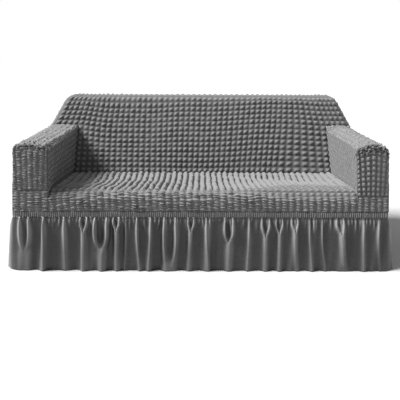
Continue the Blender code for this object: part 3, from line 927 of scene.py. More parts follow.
@dataclass
class NodeTool:
    """A Geometry Nodes tree with named inputs, applied to a mesh and then removed."""

    # Each kind of tool has its own inputs.
    inputs: ClassVar[dict[str, float]] = {}
    name: str
    tree: bpy.types.NodeTree = field(init=False)
    start: bpy.types.Node = field(init=False)
    # Identifier of each input's socket by the input's name.
    sockets: dict[str, str] = field(init=False, default_factory=dict)

    def __post_init__(self) -> None:
        """Make the tree, which ends in Realize Instances and Set Material."""
        self.tree = bpy.data.node_groups.new(self.name, "GeometryNodeTree")
        self._socket("Geometry", "NodeSocketGeometry")
        self.tree.interface.new_socket("Geometry", in_out="OUTPUT",
                                       socket_type="NodeSocketGeometry")
        self._socket("Finish", "NodeSocketMaterial")
        for name, value in self.inputs.items():
            self._socket(name, "NodeSocketFloat").default_value = value
        self.start = add_node(self.tree, "NodeGroupInput")
        real = add_node(self.tree, "GeometryNodeRealizeInstances", links={0: self.build()})
        dressed = add_node(self.tree, "GeometryNodeSetMaterial",
                           links={"Geometry": real.outputs[0],
                                  "Material": self.start.outputs["Finish"]})
        add_node(self.tree, "NodeGroupOutput", links={0: dressed.outputs[0]})

    def _socket(self, name: str, kind: str) -> bpy.types.NodeTreeInterfaceSocket:
        """Add a named input.

        Args:
            name: its name.
            kind: type name of its socket.

        Returns:
            The input.
        """
        socket = self.tree.interface.new_socket(name, in_out="INPUT", socket_type=kind)
        self.sockets[name] = socket.identifier
        return socket

    def build(self) -> Socket:
        """Add the tool's own nodes and return the geometry they end in."""
        raise NotImplementedError

    def maths(self, operation: str, *values: Socket | float) -> Socket:
        """One step of arithmetic.

        Args:
            operation: its name.
            values: sockets and numbers to work on.

        Returns:
            The result.
        """
        node = add_node(self.tree, "ShaderNodeMath", {"operation": operation})
        for number, value in enumerate(values):
            if isinstance(value, (int, float)):
                node.inputs[number].default_value = value
            else:
                self.tree.links.new(value, node.inputs[number])
        return node.outputs[0]

    def product(self, first: Socket | float, *others: Socket | float) -> Socket:
        """Multiply all values.

        Args:
            first: the first of them.
            others: the rest.

        Returns:
            Their product.
        """
        for other in others:
            first = self.maths("MULTIPLY", first, other)
        return first

    def blend(self, a: Socket | float, b: Socket | float, share: Socket) -> Socket:
        """Value a share of the way from a to b."""
        return self.maths("MULTIPLY_ADD", self.maths("SUBTRACT", b, a), share, a)

    def attribute(self, name: str, kind: str = "FLOAT") -> Socket:
        """Socket with the values of a point attribute."""
        return add_node(self.tree, "GeometryNodeInputNamedAttribute",
                        {"data_type": kind, "Name": name}).outputs[0]

    def noise(self, place: Socket, stretch: Point) -> Socket:
        """Noise around 0.

        Args:
            place: where it is read.
            stretch: number of bumps per unit in each direction.

        Returns:
            Values between about -0.5 and 0.5.
        """
        stretched = add_node(self.tree, "ShaderNodeVectorMath",
                             {"operation": "MULTIPLY", 1: stretch}, {0: place})
        noise = add_node(self.tree, "ShaderNodeTexNoise", {"Scale": 1.0, "Detail": 1.0},
                         {"Vector": stretched.outputs[0]})
        return self.maths("SUBTRACT", noise.outputs[0], 0.5)

    def ripple(self, turns: Socket) -> Socket:
        """Wave between 0 and 1, one crest at each whole number of turns."""
        wave = self.maths("COSINE", self.maths("MULTIPLY", turns, 2 * math.pi))
        return self.maths("MULTIPLY_ADD", wave, 0.5, 0.5)

    def lift(self, rise: Socket, relief: Socket) -> Socket:
        """Move the points along their normals, and keep their relief, which sets the painted
        light and shade of the colour.

        Args:
            rise: how far each point moves.
            relief: value from 0 in the valleys to 1 on the crests.

        Returns:
            The geometry.
        """
        kept = add_node(self.tree, "GeometryNodeStoreNamedAttribute",
                        {"data_type": "FLOAT", "domain": "POINT", "Name": "rise"},
                        {"Geometry": self.start.outputs["Geometry"], "Value": relief})
        normal = add_node(self.tree, "GeometryNodeInputNormal")
        offset = add_node(self.tree, "ShaderNodeVectorMath", {"operation": "SCALE"},
                          {0: normal.outputs[0], "Scale": rise})
        return add_node(self.tree, "GeometryNodeSetPosition", links={
            "Geometry": kept.outputs[0], "Offset": offset.outputs[0]}).outputs[0]

    def apply(self, item: bpy.types.Object, finish: bpy.types.Material,
              **values: float) -> bpy.types.Object:
        """Run the tree on an object and keep the result as its plain mesh.

        Args:
            item: mesh object, which is used up.
            finish: material that the result gets.
            values: the tree's inputs, with _ for each space in a name.

        Returns:
            A mesh object that holds the result, at the origin.
        """
        modifier = item.modifiers.new(self.name, "NODES")
        modifier.node_group = self.tree
        modifier[self.sockets["Finish"]] = finish
        for name, value in values.items():
            modifier[self.sockets[name.replace("_", " ")]] = value
        graph = bpy.context.evaluated_depsgraph_get()
        mesh = bpy.data.meshes.new_from_object(item.evaluated_get(graph), depsgraph=graph)
        name = item.name
        bpy.data.objects.remove(item, do_unlink=True)
        mesh.name = name
        return add_object(name, mesh)


class PuffTool(NodeTool):
    """Raises one puff in each square of the cloth's grid, no two quite alike.

    Where the cloth is taut the puffs of a column run together into a rope, and where it is
    slack it folds across the column instead.
    """

    # Shares of a square are counted from its edge (0) to its middle (1).
    inputs = {
        "Seed": 3.0,
        "Puff Height": 9.5 * MM,
        "Unevenness": 0.5,
        "Flat Edge": 0.12,
        "Rise": 0.75,
        "Corner Blend": 0.35,
        "Groove": 0.22,
        "Sink": 2.5 * MM,
        "Taut Sink": 2.4,
        "Crumple": 4 * MM,
        "Taut Crumple": 0.35,
        "Slack Height": 0.22,
        "Slack Rise": 0.16,
        "Slack Join": 0.28,
        "Cross Folds": 5.4 * MM,
        "Folds Per Puff": 2.2,
        "Fold Wander": 2.0,
        "Fold Bow": 0.5,
        "Crush": 30 * MM,
    }
    # Bumps of each noise for each puff, across and down.
    creases = (2.1, 2.1, 1.0)
    wander = (0.5, 0.9, 1.0)
    strengths = (0.4, 1.6, 1.0)
    crumples = (2.4, 2.8, 1.0)
    # The noise of one puff is read this far from its neighbour's.
    own_noise = 7.0
    # Where a noise makes a size, it is multiplied by the first number, and the second added.
    crease_depth = (4.0, -0.5)
    fold_strength = (3.0, 0.75)
    fold_sharpness = 1.6
    # In the same way, the painted shade of slack cloth is made from the relief of its dome, and
    # the crumples' noise, times the last number, paints them lighter and darker.
    slack_painted_shade = (0.15, 0.72)
    crush_painted_shading = 3.0

    def _inwards(self, part: Socket) -> Socket:
        """Way in from the edge of a square (0) to its middle (1)."""
        middle = self.maths("ABSOLUTE", self.maths("SUBTRACT", part, 0.5))
        return self.maths("SUBTRACT", 1.0, self.maths("MULTIPLY", middle, 2.0))

    def _flank(self, inwards: Socket, name: str) -> Socket:
        """Height share of a puff along one direction: a flat edge, then a round flank.

        Args:
            inwards: way in from the edge.
            name: input that holds the flank's width.

        Returns:
            0 on the flat edge, rising to 1.
        """
        lifted = self.maths("SUBTRACT", inwards, self.start.outputs["Flat Edge"])
        step = add_node(self.tree, "ShaderNodeMapRange", {"interpolation_type": "SMOOTHSTEP"},
                        {"Value": lifted, "From Max": self.start.outputs[name]})
        return step.outputs[0]

    def _tube(self, inwards: Socket) -> Socket:
        """Height share across a rope: a round tube with a groove beside it.

        Args:
            inwards: way in from the edge.

        Returns:
            0 in the groove, rising to 1.
        """
        body = add_node(self.tree, "ShaderNodeMapRange", {"To Min": 1.0, "To Max": 0.0},
                        {"Value": inwards, "From Min": self.start.outputs["Groove"]})
        return self.maths("SQRT", self.maths("SUBTRACT", 1.0, self.maths(
            "POWER", body.outputs[0], 2.0)))

    def _cross_folds(self, cloth: Socket, own: Socket, in_across: Socket,
                     chance: Socket) -> Socket:
        """Folds across slack cloth, each as strong as its noise has it.

        Args:
            cloth: place on the cloth.
            own: the same place, moved by the puff's own chance.
            in_across: way in from the sides of the square.
            chance: the puff's own chance.

        Returns:
            Height of the folds.
        """
        sizes = self.start.outputs
        centred = self.maths("SUBTRACT", chance, 0.5)
        bow = self.product(in_across, centred, sizes["Fold Bow"])
        wander = self.product(self.noise(cloth, self.wander), sizes["Fold Wander"])
        down = add_node(self.tree, "ShaderNodeSeparateXYZ", links={0: cloth}).outputs[1]
        turns = self.maths("MULTIPLY_ADD", down, sizes["Folds Per Puff"],
                           self.maths("ADD", bow, wander))
        strength = self.maths("MULTIPLY_ADD", self.noise(own, self.strengths),
                              *self.fold_strength)
        wave = self.maths("POWER", self.ripple(turns), self.fold_sharpness)
        return self.product(wave, 2.0, strength, sizes["Cross Folds"])

    def build(self) -> Socket:
        """Nodes that lift the points along their normals.

        Returns:
            The geometry that they end in.
        """
        tree, sizes = self.tree, self.start.outputs
        cloth = self.attribute("cloth", "FLOAT_VECTOR")
        full, slack, taut, crush = (self.attribute(name)
                                    for name in ("full", "slack", "taut", "crush"))
        cell = add_node(tree, "ShaderNodeVectorMath", {"operation": "FLOOR"}, {0: cloth})
        inside = add_node(tree, "ShaderNodeVectorMath", {"operation": "FRACTION"}, {0: cloth})
        parts = add_node(tree, "ShaderNodeSeparateXYZ", links={0: inside.outputs[0]})
        chance = add_node(tree, "ShaderNodeTexWhiteNoise", {"noise_dimensions": "4D"},
                          {"Vector": cell.outputs[0], "W": sizes["Seed"]})
        shift = add_node(tree, "ShaderNodeVectorMath",
                         {"operation": "SCALE", "Scale": self.own_noise},
                         {0: chance.outputs["Color"]})
        own = add_node(tree, "ShaderNodeVectorMath", {"operation": "ADD"},
                       {0: cloth, 1: shift.outputs[0]}).outputs[0]
        # The dome of a puff is bounded by its four flanks, and a rope only by its sides.
        in_across, in_down = (self._inwards(parts.outputs[i]) for i in (0, 1))
        across = self.blend(self._flank(in_across, "Rise"), self._tube(in_across), taut)
        puff = self.maths("SMOOTH_MIN", across, self._flank(in_down, "Rise"),
                          sizes["Corner Blend"])
        dome = self.blend(puff, across, self.maths("MAXIMUM", taut, slack))
        centred = self.maths("SUBTRACT", chance.outputs["Value"], 0.5)
        height = self.product(sizes["Puff Height"],
                              self.maths("MULTIPLY_ADD", sizes["Unevenness"], centred, 1.0),
                              self.blend(1.0, sizes["Slack Height"], slack))
        # Each puff is dented and creased in its own way; slack cloth folds across instead.
        crease = self.maths("ABSOLUTE", self.noise(own, self.creases))
        dent = self.product(self.maths("MULTIPLY_ADD", crease, *self.crease_depth),
                            sizes["Crumple"], self.blend(1.0, sizes["Taut Crumple"], taut))
        folds = self._cross_folds(cloth, own, in_across, chance.outputs["Value"])
        joined = self.blend(sizes["Slack Join"], 1.0, self._flank(in_across, "Slack Rise"))
        crumple = self.product(self.blend(dent, folds, slack), self.blend(dome, joined, slack))
        rise = self.maths("SUBTRACT", self.maths("MULTIPLY_ADD", dome, height, crumple),
                          self.product(sizes["Sink"], self.blend(1.0, sizes["Taut Sink"], taut)))
        wild = self.product(self.noise(cloth, self.crumples), crush)
        # Painted light and shade: the colour's relief is lighter on the domes and darker down in
        # the valleys and crumple pits.
        relief = self.blend(dome, self.maths("MULTIPLY_ADD", dome, *self.slack_painted_shade), slack)
        relief = self.maths("MULTIPLY_ADD", wild, self.crush_painted_shading, self.product(relief, full))
        rise = self.maths("MULTIPLY_ADD", wild, sizes["Crush"], self.product(rise, full))
        return self.lift(rise, relief)


class RibTool(NodeTool):
    """Raises uneven upright ribs, as in gathered elastic."""

    inputs = {
        "Rib Height": 4 * MM,
        "Sharpness": 1.6,
        "Wander": 1.1,
        "Unevenness": 1.6,
        "Mean Height": 0.75,
    }
    # Bumps of each noise for each rib, across and down.
    wander = (0.35, 0.5, 1.0)
    heights = (0.6, 0.4, 1.0)

    def build(self) -> Socket:
        """Nodes that lift the points along their normals.

        Returns:
            The geometry that they end in.
        """
        sizes = self.start.outputs
        cloth, full = self.attribute("cloth", "FLOAT_VECTOR"), self.attribute("full")
        across = add_node(self.tree, "ShaderNodeSeparateXYZ", links={0: cloth}).outputs[0]
        turns = self.maths("MULTIPLY_ADD", self.noise(cloth, self.wander), sizes["Wander"],
                           across)
        size = self.maths("MULTIPLY_ADD", self.noise(cloth, self.heights),
                          sizes["Unevenness"], sizes["Mean Height"])
        crest = self.maths("POWER", self.ripple(turns), sizes["Sharpness"])
        # The ribs' relief also paints light on the ribs and shade between them.
        relief = self.product(crest, size, full)
        return self.lift(self.product(relief, sizes["Rib Height"]), relief)


# ---- finishes

@dataclass(frozen=True)
class Bump:
    """Small relief of a cloth, too fine for the mesh: size, depth and strength of its bumps.

    The last three give the noise that makes it.
    """

    size: float
    depth: float
    strength: float
    detail: float = 1.0
    roughness: float = 0.5
    distortion: float = 0.0


@dataclass(frozen=True)
class ClothFinish:
    """What both knits have in common: a soft sheen, and painted light and shade that follow the
    relief.

    Attributes:
        blotch: size of the patches in which the dye is uneven.
        blotch_share: how much these patches count beside the relief.
        darkest: relief at and below which the colour is all painted shade.
        bumps: its small relief, from the lowest layer up.
    """

    name: str
    light: str
    painted_shade_colour: str
    roughness: float
    specular: float
    sheen: float
    sheen_roughness: float
    blotch: float
    blotch_share: float
    darkest: float
    bumps: tuple[Bump, ...]

    def material(self) -> bpy.types.Material:
        """Build the material.

        Returns:
            The material.
        """
        material = new_material(self.name, {
            "Roughness": self.roughness, "Specular IOR Level": self.specular,
            "Sheen Weight": self.sheen, "Sheen Roughness": self.sheen_roughness})
        tree = material.node_tree
        shader = tree.nodes["Principled BSDF"]
        place = add_node(tree, "ShaderNodeTexCoord").outputs["Object"]
        # Painted light and shade: the stored relief makes the colour lighter on crests and darker
        # down in the valleys, where shade falls.
        rise = add_node(tree, "ShaderNodeAttribute", {"attribute_name": "rise"})
        blotch = add_node(tree, "ShaderNodeTexNoise", {"Scale": 1 / self.blotch, "Detail": 3.0},
                          {"Vector": place})
        depth = add_node(tree, "ShaderNodeMath",
                         {"operation": "MULTIPLY_ADD", 1: self.blotch_share},
                         {0: blotch.outputs[0], 2: rise.outputs["Fac"]})
        shade = add_node(tree, "ShaderNodeMapRange", {"From Min": self.darkest, "From Max": 1.0},
                         {"Value": depth.outputs[0]})
        colour = add_node(tree, "ShaderNodeMix", {"data_type": "RGBA"},
                          {"Factor": shade.outputs[0]})
        colour.inputs["A"].default_value = linear(self.painted_shade_colour)
        colour.inputs["B"].default_value = linear(self.light)
        tree.links.new(colour.outputs["Result"], shader.inputs["Base Color"])
        below = {}
        for bump in self.bumps:
            relief = add_node(tree, "ShaderNodeTexNoise", {
                "Scale": 1 / bump.size, "Detail": bump.detail, "Roughness": bump.roughness,
                "Distortion": bump.distortion}, {"Vector": place})
            raised = add_node(tree, "ShaderNodeBump",
                              {"Strength": bump.strength, "Distance": bump.depth},
                              {"Height": relief.outputs[0], **below})
            below = {"Normal": raised.outputs[0]}
        tree.links.new(below["Normal"], shader.inputs["Normal"])
        return material


@dataclass(frozen=True)
class KnitFinish(ClothFinish):
    """Puffed polyester knit: matte yarn with a faint fuzz, and painted shade that makes it darker
    down between the puffs.

    Its bumps are the creases on a puff, then the knitted loops, which are 2 mm wide here and
    1 mm in truth, so that they show.
    """

    name: str = "puffed_polyester_knit"
    light: str = "#686868"
    # Painted shade down between the puffs.
    painted_shade_colour: str = "#404040"
    roughness: float = 0.82
    specular: float = 0.25
    sheen: float = 0.25
    sheen_roughness: float = 0.45
    blotch: float = 24 * MM
    blotch_share: float = 0.30
    darkest: float = 0.05
    bumps: tuple[Bump, ...] = (Bump(9 * MM, 1.6 * MM, 0.9, 3.0, 0.6, 0.6),
                               Bump(2.0 * MM, 0.4 * MM, 0.35))


@dataclass(frozen=True)
class SmoothKnitFinish(ClothFinish):
    """Plain polyester knit of the skirt and band: smooth, with a soft sheen, a painted highlight
    on each fold or rib and painted shade between them.

    Its bumps are the knitted loops, drawn 2 mm wide so that they show.
    """

    name: str = "smooth_polyester_knit"
    # Painted highlight on the crests of the folds or ribs, and painted shade on the flats between
    # them.
    light: str = "#737373"
    painted_shade_colour: str = "#1a1a1a"
    roughness: float = 0.42
    specular: float = 0.45
    sheen: float = 0.2
    sheen_roughness: float = 0.4
    blotch: float = 14 * MM
    blotch_share: float = 0.16
    darkest: float = 0.0
    bumps: tuple[Bump, ...] = (Bump(2.0 * MM, 0.3 * MM, 0.25),)


# ---- bubble cloth

@dataclass
class Panel:
    """A piece of bubble cloth, cut for one part of the sofa."""

    sofa: Sofa
    grid: BubbleGrid


@dataclass
class BackPanel(Panel):
    """A panel of the back, whose upper part leans in at its sides.

    Attributes:
        upper_rows: rows of puffs between the arm line and the round top.
        over_rows: rows of puffs on the round top.
    """

    fine: int = 8
    upper_rows: int = 5
    over_rows: int = 2

    def columns(self) -> tuple[Array, int, int]:
        """Fine columns at the arm line.

        Returns:
            x of each column, and the first and last column between the arms.
        """
        left, right = self.sofa.left.in_top, self.sofa.right.in_top
        reach, pitch = self.sofa.join_half_width, self.grid.across_back
        middle = grid_steps(left + right, pitch, self.fine)
        sides = [grid_steps(reach - edge, pitch, self.fine) for edge in (left, right)]
        x = np.concatenate([np.linspace(-reach, -left, sides[0] + 1)[:-1],
                            np.linspace(-left, right, middle + 1),
                            np.linspace(right, reach, sides[1] + 1)[1:]])
        return x, sides[0], sides[0] + middle

    def upper(self, x: Array, face: Face) -> Array:
        """Rows from the arm line up to the ridge.

        Args:
            x: columns at the arm line.
            face: the face they lie on.

        Returns:
            Rows x columns x 3.
        """
        sofa = self.sofa
        round_z = sofa.back_top_z - sofa.top_round
        levels = np.linspace(sofa.join_z, round_z, self.upper_rows * self.fine + 1)[:-1]
        angle = np.linspace(0, QUARTER, self.over_rows * self.fine + 1)
        z = np.concatenate([levels, sofa.back_top_z - sofa.top_round * (1 - np.sin(angle))])
        share = np.concatenate([np.ones(len(levels)), np.cos(angle)])
        drawn_in = (sofa.join_half_width - sofa.back_half_width(z))[:, None]
        pull = drawn_in * (np.abs(x[None, :]) / sofa.join_half_width) ** 3
        return sofa.upper_back(x[None, :] - np.sign(x)[None, :] * pull, z[:, None],
                               share[:, None], face)


@dataclass
class BackInside(BackPanel):
    """Inside back: between the arms, then T-shaped up to the ridge of the top."""

    inside_rows: int = 9
    pull: Pull = Pull(0.18, 0.66, 0.26, 0.060)
    top_fade: float = 18 * MM
    side_fade: float = 50 * MM
    edge_full: float = 0.5

    def patches(self) -> list[Patch]:
        """Grids of the part between the arms and of the part above them.

        Returns:
            Its patches.
        """
        sofa, fine = self.sofa, (self.fine, self.fine)
        x, first, last = self.columns()
        share = np.linspace(0, 1, self.inside_rows * self.fine + 1)[:, None]
        left = lerp(sofa.left.in_foot, sofa.left.in_top, share)
        right = lerp(sofa.right.in_foot, sofa.right.in_top, share)
        across = (x[first:last + 1] - x[first]) / (x[last] - x[first])
        inner_x = lerp(-left, right, across[None, :])
        z = lerp(sofa.seat_rear_z, sofa.join_z, share) + 0 * inner_x
        inside = np.stack([inner_x, sofa.inside_back_y(z) - sofa.swell(inner_x, z), z], axis=-1)
        count = first / self.fine + np.arange(inside.shape[1]) / self.fine
        return [Patch.counted(inside, fine, count),
                Patch.counted(self.upper(x, Face.INSIDE), fine, first_row=self.inside_rows)]

    def piece(self) -> ClothPiece:
        """The whole panel, with lower puffs where its outline shows.

        Returns:
            The piece, not yet sewn.
        """
        sofa = self.sofa
        piece = ClothPiece("back_inside", self.patches(), 2 * sofa.join_half_width)
        piece.drag(self.pull.shift(piece.points))
        piece.drag(Skew(sofa).shift(piece.points), rim_held=False)
        x, z = piece.points[:, 0], piece.points[:, 2]
        top = ease((sofa.back_top_z - z) / self.top_fade)
        side = ease((sofa.back_half_width(z) - np.abs(x)) / self.side_fade)
        piece.full = lerp(self.edge_full, 1.0, np.where(z > sofa.join_z, top * side, 1.0))
        return piece


@dataclass
class BackOutside(BackPanel):
    """Outside back, from the ridge of the top down to the band."""

    fine: int = 7
    outside_rows: int = 11

    def patches(self) -> list[Patch]:
        """Grids of the part above the arm line and of the part below it.

        Returns:
            Its patches.
        """
        sofa, fine = self.sofa, (self.fine, self.fine)
        x = self.columns()[0]
        upper = self.upper(x, Face.OUTSIDE)[::-1]
        share = np.linspace(1, 0, self.outside_rows * self.fine + 1)[:, None]
        seam = sofa.seam(share[:, 0])[:, None, :]
        wide = x[None, :] * seam[..., 0] / sofa.join_half_width
        rounding = lerp(sofa.rear_corner, sofa.side_round, share)
        height = seam[..., 2] + 0 * wide
        depth = (sofa.outside_back_y(height) - seam[..., 1]) * sofa.side_rounding(
            wide, seam[..., 0], rounding)
        outside = np.stack([wide, seam[..., 1] + depth, height], axis=-1)
        return [Patch.counted(upper, fine),
                Patch.counted(outside, fine, first_row=self.upper_rows + self.over_rows)]

    def piece(self) -> ClothPiece:
        """The whole panel."""
        return ClothPiece("back_outside", self.patches(), 2 * self.sofa.half_width)


@dataclass
class Sleeve(Panel):
    """Outside arm, arm top and inside arm in one length of bubble cloth.

    Attributes:
        fullness: share of a full puff on the outside, the top and the inside of the arm.
        length: length of cloth along the arm, in which its puffs are counted.
        seam_places: further lines across it next to its front seam, as shares of its length.
    """

    arm: Arm
    fullness: tuple[float, float, float]
    fine: int = 10
    length: float = 0.68
    width: float = 0.95
    seam_places: tuple[float, ...] = (0.0012, 0.004, 0.008, 0.013)
    gathers: float = 3.4
    top_slack: float = 0.3
    top_turn: float = 0.7
    crush_end: float = 0.16
    crush_fade: float = 0.12
    rear_crush: float = 0.4

    def patches(self) -> list[Patch]:
        """The sleeve's one grid: lines from front to rear, side by side round the arm.

        Returns:
            Its patches.
        """
        sofa, arm = self.sofa, self.arm
        sections, ends, steps = [], [], []
        for number, run in enumerate(sofa.arm_outline(arm)):
            length = run_length(run)[-1]
            steps.append(max(2, round(length / self.grid.down * self.fine)))
            share = np.linspace(0, 1, steps[-1] + 1)[(0 if number == 0 else 1):]
            sections.append(resample(run, share * length))
            ends.append(self._rear(number, share))
        section, end = np.vstack(sections), np.vstack(ends)
        inner_start = steps[0] + steps[1]
        columns = grid_steps(self.length, self.grid.across, self.fine)
        share = np.unique(np.concatenate([np.linspace(0, 1, columns + 1), self.seam_places]))
        y = lerp(sofa.front_y, end[:, 1][:, None], share[None, :])
        x = lerp(section[:, 0][:, None], end[:, 0][:, None], share[None, :])
        climb = np.clip(1.0 - (end[:, 1][:, None] - y) / sofa.fillet, 0, 1) ** 2
        rise = arm.rise * share[None, :] * (1 - climb)
        z = section[:, 1][:, None] + rise + (end[:, 2] - section[:, 1])[:, None] * climb
        seat = sofa.seat_height(lerp(sofa.front_y, sofa.crease_y, share))
        inner, inner_end = section[inner_start:], end[inner_start:]
        front = (inner[0, 1] - inner[:, 1]) / (inner[0, 1] - inner[-1, 1])
        rear = (inner_end[0, 2] - inner_end[:, 2]) / (inner_end[0, 2] - sofa.seat_rear_z)
        part = lerp(front[:, None], rear[:, None], share[None, :])
        z[inner_start:] = lerp(z[inner_start][None, :], seat[None, :], part)
        points = np.stack([arm.side.value * x, y, z], axis=-1)
        return [Patch.counted(points, (self.fine, self.fine), share * columns / self.fine,
                              flip=arm.side is Side.LEFT)]

    def _rear(self, run: int, share: Array) -> Array:
        """Where the lines end: on the side seam, the arm line, or the crease on the back.

        Args:
            run: number of the run of the arm's outline that they belong to.
            share: places along that run.

        Returns:
            Points, last axis x, y, z.
        """
        sofa, arm = self.sofa, self.arm
        if run == 0:
            return sofa.seam(share)
        if run == 1:
            x = lerp(sofa.join_half_width, arm.in_top, share)
            return sofa.upper_back(x, np.full_like(x, sofa.join_z), np.ones_like(x), Face.INSIDE)
        z = lerp(sofa.join_z, sofa.seat_rear_z, share)
        return np.stack([lerp(arm.in_top, arm.in_foot, share), sofa.inside_back_y(z), z],
                        axis=-1)

    def piece(self) -> ClothPiece:
        """The whole sleeve, its puffs lower or crushed from one side of the arm to the other.

        Returns:
            The piece, not yet sewn.
        """
        arm = self.arm
        piece = ClothPiece(f"arm_{arm.name}", self.patches(), self.width, self.gathers)
        up, side = piece.normals[:, 2], piece.normals[:, 0] * arm.side.value
        outer, top, inner = self.fullness
        piece.full = lerp(np.where(side > 0, outer, inner), top, ease(up))
        on_top = ease(up / self.top_turn)
        piece.slack = self.top_slack * on_top
        near = ease((self.sofa.front_y + self.crush_end - piece.points[:, 1]) / self.crush_fade)
        piece.crush = lerp(self.rear_crush, 1.0, near) * on_top
        return piece


@dataclass
class ArmFront(Panel):
    """Upright panel in front of an arm.

    Attributes:
        fullness: share of a full puff at the outer and the inner edge.
        slackness: share of cross folds at the outer and the inner edge.
        crushed: height of the crumpled strip along its top.
        extra_columns: cloth gathered into its width, as a share of the width.
    """

    arm: Arm
    fullness: Pair
    slackness: Pair
    crushed: float
    fine: int = 13
    extra_columns: float = 1.12
    bulge_power: float = 0.7
    gathers: float = 4.0
    crush_fade: float = 0.03
    crush_full: float = 0.6
    turn: float = 1.6

    def patches(self) -> list[Patch]:
        """The panel's one grid: columns from its bottom seam to its round top.

        Returns:
            Its patches.
        """
        sofa, arm = self.sofa, self.arm
        up, over, down = sofa.arm_outline(arm)
        shoulders = sofa.arm_top - np.array([arm.round_out, arm.round_in]) - TINY
        ceiling = np.vstack([up[up[:, 1] >= shoulders[0]], over[1:],
                             down[down[:, 1] >= shoulders[1]][1:]])
        length = run_length(ceiling)[-1]
        columns = max(1, round(length / self.grid.across * self.extra_columns)) * self.fine
        share = np.linspace(0, 1, columns + 1)
        top = resample(ceiling, share * length)
        out_x, in_x = sofa.arm_sides(arm, arm.seam_z)
        rows = grid_steps(sofa.arm_top - arm.seam_z, self.grid.down_front, self.fine)
        up_share = np.linspace(0, 1, rows + 1)[:, None]
        x = lerp(lerp(out_x, in_x, share)[None, :], top[None, :, 0], up_share)
        z = lerp(arm.seam_z, top[None, :, 1], up_share)
        crown = np.sin(math.pi * share)[None, :] * np.sin(math.pi * up_share)
        y = sofa.front_y - sofa.arm_bulge * np.clip(crown, 0, 1) ** self.bulge_power
        points = np.stack([arm.side.value * x, y, z], axis=-1)
        return [Patch.counted(points, (self.fine, self.fine), flip=arm.side is Side.RIGHT)]

    def piece(self) -> ClothPiece:
        """The whole panel, slacker at its outer edge and crushed along its top.

        Returns:
            The piece, not yet sewn.
        """
        arm = self.arm
        width = arm.out_top - arm.in_top
        piece = ClothPiece(f"arm_front_{arm.name}", self.patches(), width, self.gathers)
        inwards = ease((arm.out_top - piece.points[:, 0] * arm.side.value) / width * self.turn)
        strip = piece.points[:, 2] - self.sofa.arm_top + self.crushed
        piece.crush = ease(strip / self.crush_fade)
        piece.full = lerp(*self.fullness, inwards) * (1 - self.crush_full * piece.crush)
        piece.slack = lerp(*self.slackness, inwards)
        return piece


